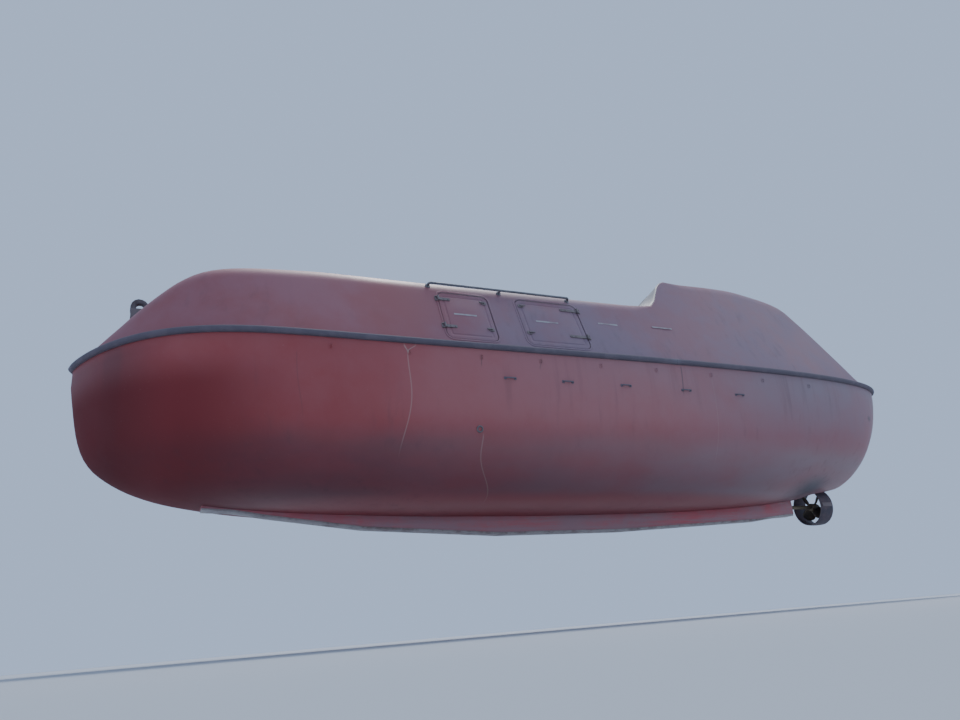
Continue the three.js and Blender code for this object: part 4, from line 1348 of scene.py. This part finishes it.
def makeNozzle():
    x, z, outer, inner = (nozzleShape[key] for key in ("x", "z", "outer", "inner"))
    foot, top = z + nozzleShape["stockFoot"], nozzleShape["stockTop"]
    profile = []
    for k in range(nozzleShape["steps"]):
        turn = 2 * pi * k / nozzleShape["steps"]
        thick = 0.5 * (outer - inner) * (1.0 - nozzleShape["taper"] * cos(turn))
        profile.append(((outer + inner) / 2 + thick * sin(turn), -nozzleShape["length"] / 2 * cos(turn)))
    radius, depth, rise, collarTop = nozzleShape["collar"]
    low, high, bevel = nozzleShape["tiller"]
    parts = [
        spun(profile, (x, 0, z), (1, 0, 0), 64),
        cylinder(nozzleShape["stock"], top - foot, (x, 0, (top + foot) / 2)),
        cylinder(radius, depth, (x, 0, z + rise), top=collarTop),
        block((x + low[0], *low[1:]), (x + high[0], *high[1:]), bevel),
    ]
    out, (long, thin, tall), bevel = nozzleShape["plates"]
    for y in (-out, out):
        parts.append(block((x - long, y - thin, z - tall), (x + long, y + thin, z + tall), bevel))
    return joinAll("nozzle", parts)


propShape = {
    "radius": 0.235, "root": 0.048, "blades": 4, "pitch": radians(34), "twist": radians(22),
    "fore": 0.055, "aft": -0.062, "shaft": (0.028, 0.76, -4.22), "rings": 15, "points": 16,
    # half chord at the root and what the middle adds; where along the round tip starts
    "chord": (0.062, 0.062), "start": 0.08, "swell": 0.8, "tip": 0.8, "leastTip": 0.02,
    # half thickness at the root and what the tip has less; shares of the chord and of its sweep
    "thick": (0.009, 0.004), "narrow": 0.92, "sweep": 0.9,
    # points of (radius, along)
    "hub": [(0.0, -0.128), (0.016, -0.126), (0.034, -0.112), (0.05, -0.08), (0.056, -0.05),
            (0.058, 0.0), (0.058, 0.055), (0.045, 0.062), (0.0, 0.062)],
}


def bladeRing(along):
    # one section of a blade; along is 0 at its root and 1 at its tip
    radius = propShape["root"] + (propShape["radius"] - propShape["root"]) * along
    start, tip, (thick, thinner) = propShape["start"], propShape["tip"], propShape["thick"]
    rootChord, added = propShape["chord"]
    chord = rootChord + added * sin(pi * min(along * (1 - start) + start, 1)) ** propShape["swell"]
    if along > tip:
        chord *= sqrt(max(1 - ((along - tip) / (1 - tip)) ** 2, propShape["leastTip"]))
    twist = propShape["pitch"] + (1 - along) * propShape["twist"]
    ring = []
    for k in range(propShape["points"]):
        turn = 2 * pi * k / propShape["points"]
        a, b = chord * cos(turn) * propShape["narrow"], (thick - thinner * along) * sin(turn)
        sweep = (a * cos(twist) - b * sin(twist)) / radius * propShape["sweep"]
        fore = max(min(a * sin(twist) + b * cos(twist), propShape["fore"]), propShape["aft"])
        ring.append((nozzleShape["x"] + fore, radius * sin(sweep),
                     nozzleShape["z"] + radius * cos(sweep)))
    return ring


def makePropeller():
    x, z = nozzleShape["x"], nozzleShape["z"]
    hub = spun(propShape["hub"], (x, 0, z), (1, 0, 0), 32, (0, 0, 1), 0.0003)
    blade = closedShape([bladeRing(along) for along in np.linspace(0, 1, propShape["rings"])])
    blades = [blade] + [duplicate(blade, "blade") for k in range(1, propShape["blades"])]
    centre = Matrix.Translation((x, 0, z))
    for k, copy in enumerate(blades):
        turn = Matrix.Rotation(2 * pi * k / propShape["blades"] + pi / 4, 4, "X")
        copy.data.transform(centre @ turn @ centre.inverted())
    radius, length, middle = propShape["shaft"]
    shaft = cylinder(radius, length, (middle, 0, z), (1, 0, 0))
    return joinAll("propeller", [hub, shaft] + blades)


finishPiece(makeNozzle(), "steeringNozzle", "nozzle", "nozzlePaint", ["steering_nozzle"])
finishPiece(makePropeller(), "propellerFourBlade", "screw", "propellerBronze", ["propeller"])
print("nozzle and propeller made")

# pieces taken from the frame

carried = {
    # node: piece, body, material, bevel
    "keel": ("keelSkeg", "boat", "keelPaint", 0.012),
    "keel_shoe": ("keelShoe", "boat", "wearStrip", 0.006),
    "hook_post_fore": ("forePost", "boat", "fittingSteel", 0.004),
    "hook_post_aft": ("aftPost", "boat", "fittingSteel", 0.004),
    "hook_fore": ("foreHook", "fore_hook", "fittingSteel", 0.006),
    "hook_aft": ("aftHook", "aft_hook", "fittingSteel", 0.006),
    "towing_eye": ("towingEye", "boat", "fittingSteel", 0.003),
    "sole": ("cabinSole", "boat", "innerLiner", 0.0),
    "bench_port": ("portBench", "boat", "innerLiner", 0.02),
    "bench_stbd": ("starboardBench", "boat", "innerLiner", 0.02),
    "engine": ("engineCase", "boat", "engineEnamel", 0.03),
    "helm_platform": ("helmPlatform", "boat", "innerLiner", 0.008),
    "helm_console": ("helmConsole", "boat", "innerLiner", 0.02),
    "helm_wheel": ("helmWheel", "boat", "helmPlastic", 0.0),
}
for node, (title, body, material, bevel) in carried.items():
    finishPiece(fromNode(node, bevel), title, body, material, [node])

# helm seat and lamp

seatShape = {
    "x": -2.900, "floor": 0.5603, "pan": (1.270, 1.370), "half": 0.240,
    "front": -2.660, "back": -3.190, "top": 1.900,
    # crown and piping of the pan and of the back
    "padPan": (0.022, 0.06), "padBack": (0.02, 0.08), "arm": 0.222, "armRadius": 0.014,
}


def shapedPad(low, high, crown, piping):
    # a moulded pad: a subdivided block whose broad faces swell and whose edges stay tight
    obj = block(low, high)
    with editing(obj):
        bpy.ops.mesh.subdivide(number_cuts=7)
    middle = [(a + b) / 2 for a, b in zip(low, high)]
    half = [(b - a) / 2 for a, b in zip(low, high)]
    thin = half.index(min(half))
    broad = [k for k in range(3) if k != thin]
    for vertex in obj.data.vertices:
        share = [(c - m) / h for c, m, h in zip(vertex.co, middle, half)]
        swell = (1 - abs(share[broad[0]]) ** 3) * (1 - abs(share[broad[1]]) ** 3)
        place = list(vertex.co)
        place[thin] = middle[thin] + share[thin] * (half[thin] - crown * (1 - swell))
        for k in broad:
            place[k] = middle[k] + (place[k] - middle[k]) * (1 - piping * abs(share[thin]) ** 4)
        vertex.co = place
    return modified(obj, "SUBSURF", levels=1, render_levels=1)


def makeSeat():
    x, floor, half, front, back, top = (seatShape[key] for key in (
        "x", "floor", "half", "front", "back", "top"))
    low, high = seatShape["pan"]
    pedestal = [(0.0, floor), (0.170, floor), (0.168, floor + 0.012), (0.085, floor + 0.024),
                (0.060, floor + 0.06), (0.057, 1.19), (0.090, 1.245), (0.090, 1.275), (0.0, 1.275)]
    parts = [
        spun(pedestal, (x, 0, 0), (0, 0, 1), 32),
        shapedPad((back + 0.06, -half, low), (front, half, high), *seatShape["padPan"]),
        shapedPad((back, -half, low + 0.05), (back + 0.09, half, top), *seatShape["padBack"]),
    ]
    for y in (seatShape["arm"], -seatShape["arm"]):
        corners = [(back + 0.05, y, 1.62), (back + 0.30, y, 1.60), (back + 0.38, y, 1.36)]
        parts.append(tube(roundedPath(corners, 0.06), seatShape["armRadius"]))
    return joinAll("seat", parts)


finishPiece(makeSeat(), "helmSeat", "boat", "helmPlastic", ["helm_seat"])

lampShape = {
    "place": (-3.250, 0, 0), "steps": 28,
    # points of (radius, height)
    "base": [(0.0, 2.70), (0.038, 2.70), (0.038, 2.742), (0.052, 2.750), (0.052, 2.800),
             (0.030, 2.800), (0.0, 2.800)],
    "lens": [(0.0, 2.801), (0.048, 2.801), (0.050, 2.83), (0.042, 2.852), (0.022, 2.8645),
             (0.0, 2.865)],
}
lampBase, lens = (spun(lampShape[key], lampShape["place"], (0, 0, 1), lampShape["steps"])
                  for key in ("base", "lens"))
finishPiece(lampBase, "roofLampBase", "boat", "helmPlastic")
finishPiece(lens, "roofLampLens", "boat", "lampLens", ["lamp"])
print("carried pieces made")

# small fittings on the port and starboard sides

hullTable = np.array(hullShape["stations"])
hullAlong = np.concatenate([[0], np.cumsum(np.hypot(*np.diff(hullTable[:, :2], axis=0).T))])
hullTable = smoothTable(hullTable, hullAlong, np.linspace(0, hullAlong[-1], 4000))
hullTable = hullTable[np.argsort(hullTable[:, 0])]


def breadthAt(x, z):
    bottom, sideFull, bottomFull = (np.interp(x, hullTable[:, 0], hullTable[:, k]) for k in (1, 2, 3))
    gunwale = hullShape["gunwale"]
    depth = min(max((gunwale - z) / (gunwale - bottom), 0), 1)
    return halfBreadth(x) * max(1 - depth ** bottomFull, 0) ** (1 / sideFull)


def onHull(x, z):
    # the hull's port side at a station and a height: u along the boat, v up, w outwards
    step = 0.02
    dx = (breadthAt(x + step, z) - breadthAt(x - step, z)) / (2 * step)
    dz = (breadthAt(x, z + step) - breadthAt(x, z - step)) / (2 * step)
    w = Vector((-dx, 1, -dz)).normalized()
    u = Vector((-1, 0, 0))
    u = (u - w * u.dot(w)).normalized()
    v = w.cross(u)
    y = breadthAt(x, z)
    return Matrix(((u.x, v.x, w.x, x), (u.y, v.y, w.y, y), (u.z, v.z, w.z, z), (0, 0, 0, 1)))


fittings = {
    # stations and heights
    "eyes": [(3.25, 0.88), (2.4, 0.88), (1.55, 0.88), (0.80, 0.88), (-0.02, 0.88), (-0.83, 0.88),
             (-1.7, 0.87), (-2.6, 0.86), (-3.5, 0.85)],
    "handholds": [(1.22, 0.65), (0.47, 0.65), (-0.34, 0.65), (-1.25, 0.64), (-2.13, 0.63)],
    "outlet": (1.61, 0.07),
    # points of (radius, height)
    "outletRing": [(0.022, -0.01), (0.040, -0.01), (0.040, 0.006), (0.034, 0.010),
                   (0.026, 0.010), (0.022, 0.006)],
    # from and to along the side, height on its slope, and the door that carries it
    "tapes": [
        (-1.75, -1.46, 0.529, "fwd"), (-0.67, -0.36, 0.541, "aft"),
        (0.25, 0.54, 0.615, ""), (1.10, 1.42, 0.649, ""),
    ],
    "tapeHalf": 0.012, "tapeCorner": 0.004, "tapeDepths": (0.0003, 0.0016),
}
# plate: half its width and height, its corner, lower and upper face
eyeShape = {"half": 0.016, "height": 0.022, "foot": 0.0, "bend": 0.01, "radius": 0.004,
            "plate": (0.022, 0.03, 0.008, -0.002, 0.003)}
gripShape = {"half": 0.062, "height": 0.028, "foot": -0.01, "bend": 0.016, "radius": 0.0075,
             "plate": (0.016, 0.016, 0.007, -0.004, 0.004)}


def loopOf(shape, upright, sides):
    # a bar on two feet, up the side or along the boat
    half, top, foot = shape["half"], shape["height"], shape["foot"]
    corners = []
    for place, height in ((-half, foot), (-half, top), (half, top), (half, foot)):
        corners.append((0, place, height) if upright else (place, 0, height))
    return tube(roundedPath(corners, shape["bend"], 4), shape["radius"], sides)


def footPlate(shape, u):
    across, up, corner, low, top = shape["plate"]
    return roundedPlate((u - across, -up), (u + across, up), corner, low, top, 3)


def makeEye(x, z):
    base = footPlate(eyeShape, 0)
    return inFrame(joinAll("eye", [base, loopOf(eyeShape, True, 8)]), onHull(x, z))


def makeGrip(x, z):
    feet = [footPlate(gripShape, u) for u in (-gripShape["half"], gripShape["half"])]
    return inFrame(joinAll("grip", [loopOf(gripShape, False, 12)] + feet), onHull(x, z))


def makeOutlet():
    return inFrame(spun(fittings["outletRing"], (0, 0, 0), (0, 0, 1), 28),
                   onHull(*fittings["outlet"]))


for title, material, group in (
    ("lifelineEyes", "hullGelcoat", [makeEye(x, z) for x, z in fittings["eyes"]]),
    ("handholds", "fenderRubber", [makeGrip(x, z) for x, z in fittings["handholds"]]),
    ("outletFlange", "fittingSteel", [makeOutlet()]),
):
    finishPair(joinAll(title, group), title, material)

for number, (a, b, v, door) in enumerate(fittings["tapes"], 1):
    half = fittings["tapeHalf"]
    lift = doorShape["crest"] if door else 0.0
    bottom, top = (lift + depth for depth in fittings["tapeDepths"])
    strip = inFrame(roundedPlate((a, v - half), (b, v + half), fittings["tapeCorner"], bottom, top, 2),
                    portPanel)
    otherStrip = mirrored(strip, "stripStarboard")
    for piece, shipSide in ((strip, "port"), (otherStrip, "stbd")):
        body = f"{shipSide}_{door}_door" if door else "boat"
        finishPiece(piece, f"tape{number}{shipSide.capitalize()}", body, "reflectiveTape")
print("fittings made")

# floor, light and world

studio = {
    "floor": -2.06, "floorSize": 4000, "rough": 0.9, "fade": (12, 34),
    "floorColours": ((0.50, 0.53, 0.57, 1), (0.48, 0.51, 0.555, 1)),
    "sky": (0.52, 0.67, 0.95, 1), "skyStrength": 0.86,
    "lights": {
        # place, what it looks at, size, power, colour
        "sternSoftbox": ((-11, 3, 9), (-2.5, 0.5, 1.5), 7, 130, (1, 0.97, 0.95)),
        "topSoftbox": ((-1, -3, 12), (0, 0, 1), 11, 450, (1, 0.98, 0.96)),
        "backSoftbox": ((-6, -14, 34), (0, 0, 1), 9, 8000, (1, 0.98, 0.96)),
        "bowSoftbox": ((12, 10, 3), (3, 0, 0.4), 7, 35, (1, 0.93, 0.88)),
        "sideSoftbox": ((-6, 13, 0.5), (-1.5, 1.2, -0.4), 5, 110, (0.72, 0.95, 1)),
    },
}


def makeFloor():
    clearSelection()
    bpy.ops.mesh.primitive_plane_add(size=studio["floorSize"], location=(0, 0, studio["floor"]))
    floor = bpy.context.object
    floor.name = "studioFloor"
    material, t, shader, place = newMaterial("studioFloor")
    # the floor runs out into the sky's own light, so that no edge shows at the horizon
    far = t.between(t.vectorMaths("LENGTH", place).outputs["Value"], *studio["fade"])
    colour = t.mix(t.noise(place, 0.6, 3.0), *studio["floorColours"])
    t.join(t.mix(far, colour, (0, 0, 0, 1)), shader.inputs["Base Color"])
    shader.inputs["Emission Color"].default_value = studio["sky"]
    t.join(t.times(far, studio["skyStrength"]), shader.inputs["Emission Strength"])
    shader.inputs["Roughness"].default_value = studio["rough"]
    shader.inputs["Specular IOR Level"].default_value = 0.0
    floor.data.materials.append(material)
    return floor


floor = makeFloor()

world = bpy.data.worlds.new("studio")
world.use_nodes = True
world.node_tree.nodes["Background"].inputs["Color"].default_value = studio["sky"]
world.node_tree.nodes["Background"].inputs["Strength"].default_value = studio["skyStrength"]
bpy.context.scene.world = world

for name, (place, target, size, energy, colour) in studio["lights"].items():
    data = bpy.data.lights.new(name, "AREA")
    data.energy = energy
    data.size = size
    data.color = colour
    lamp = bpy.data.objects.new(name, data)
    bpy.context.scene.collection.objects.link(lamp)
    lamp.location = place
    lamp.rotation_euler = (Vector(target) - Vector(place)).to_track_quat("-Z", "Y").to_euler()
print("studio set")
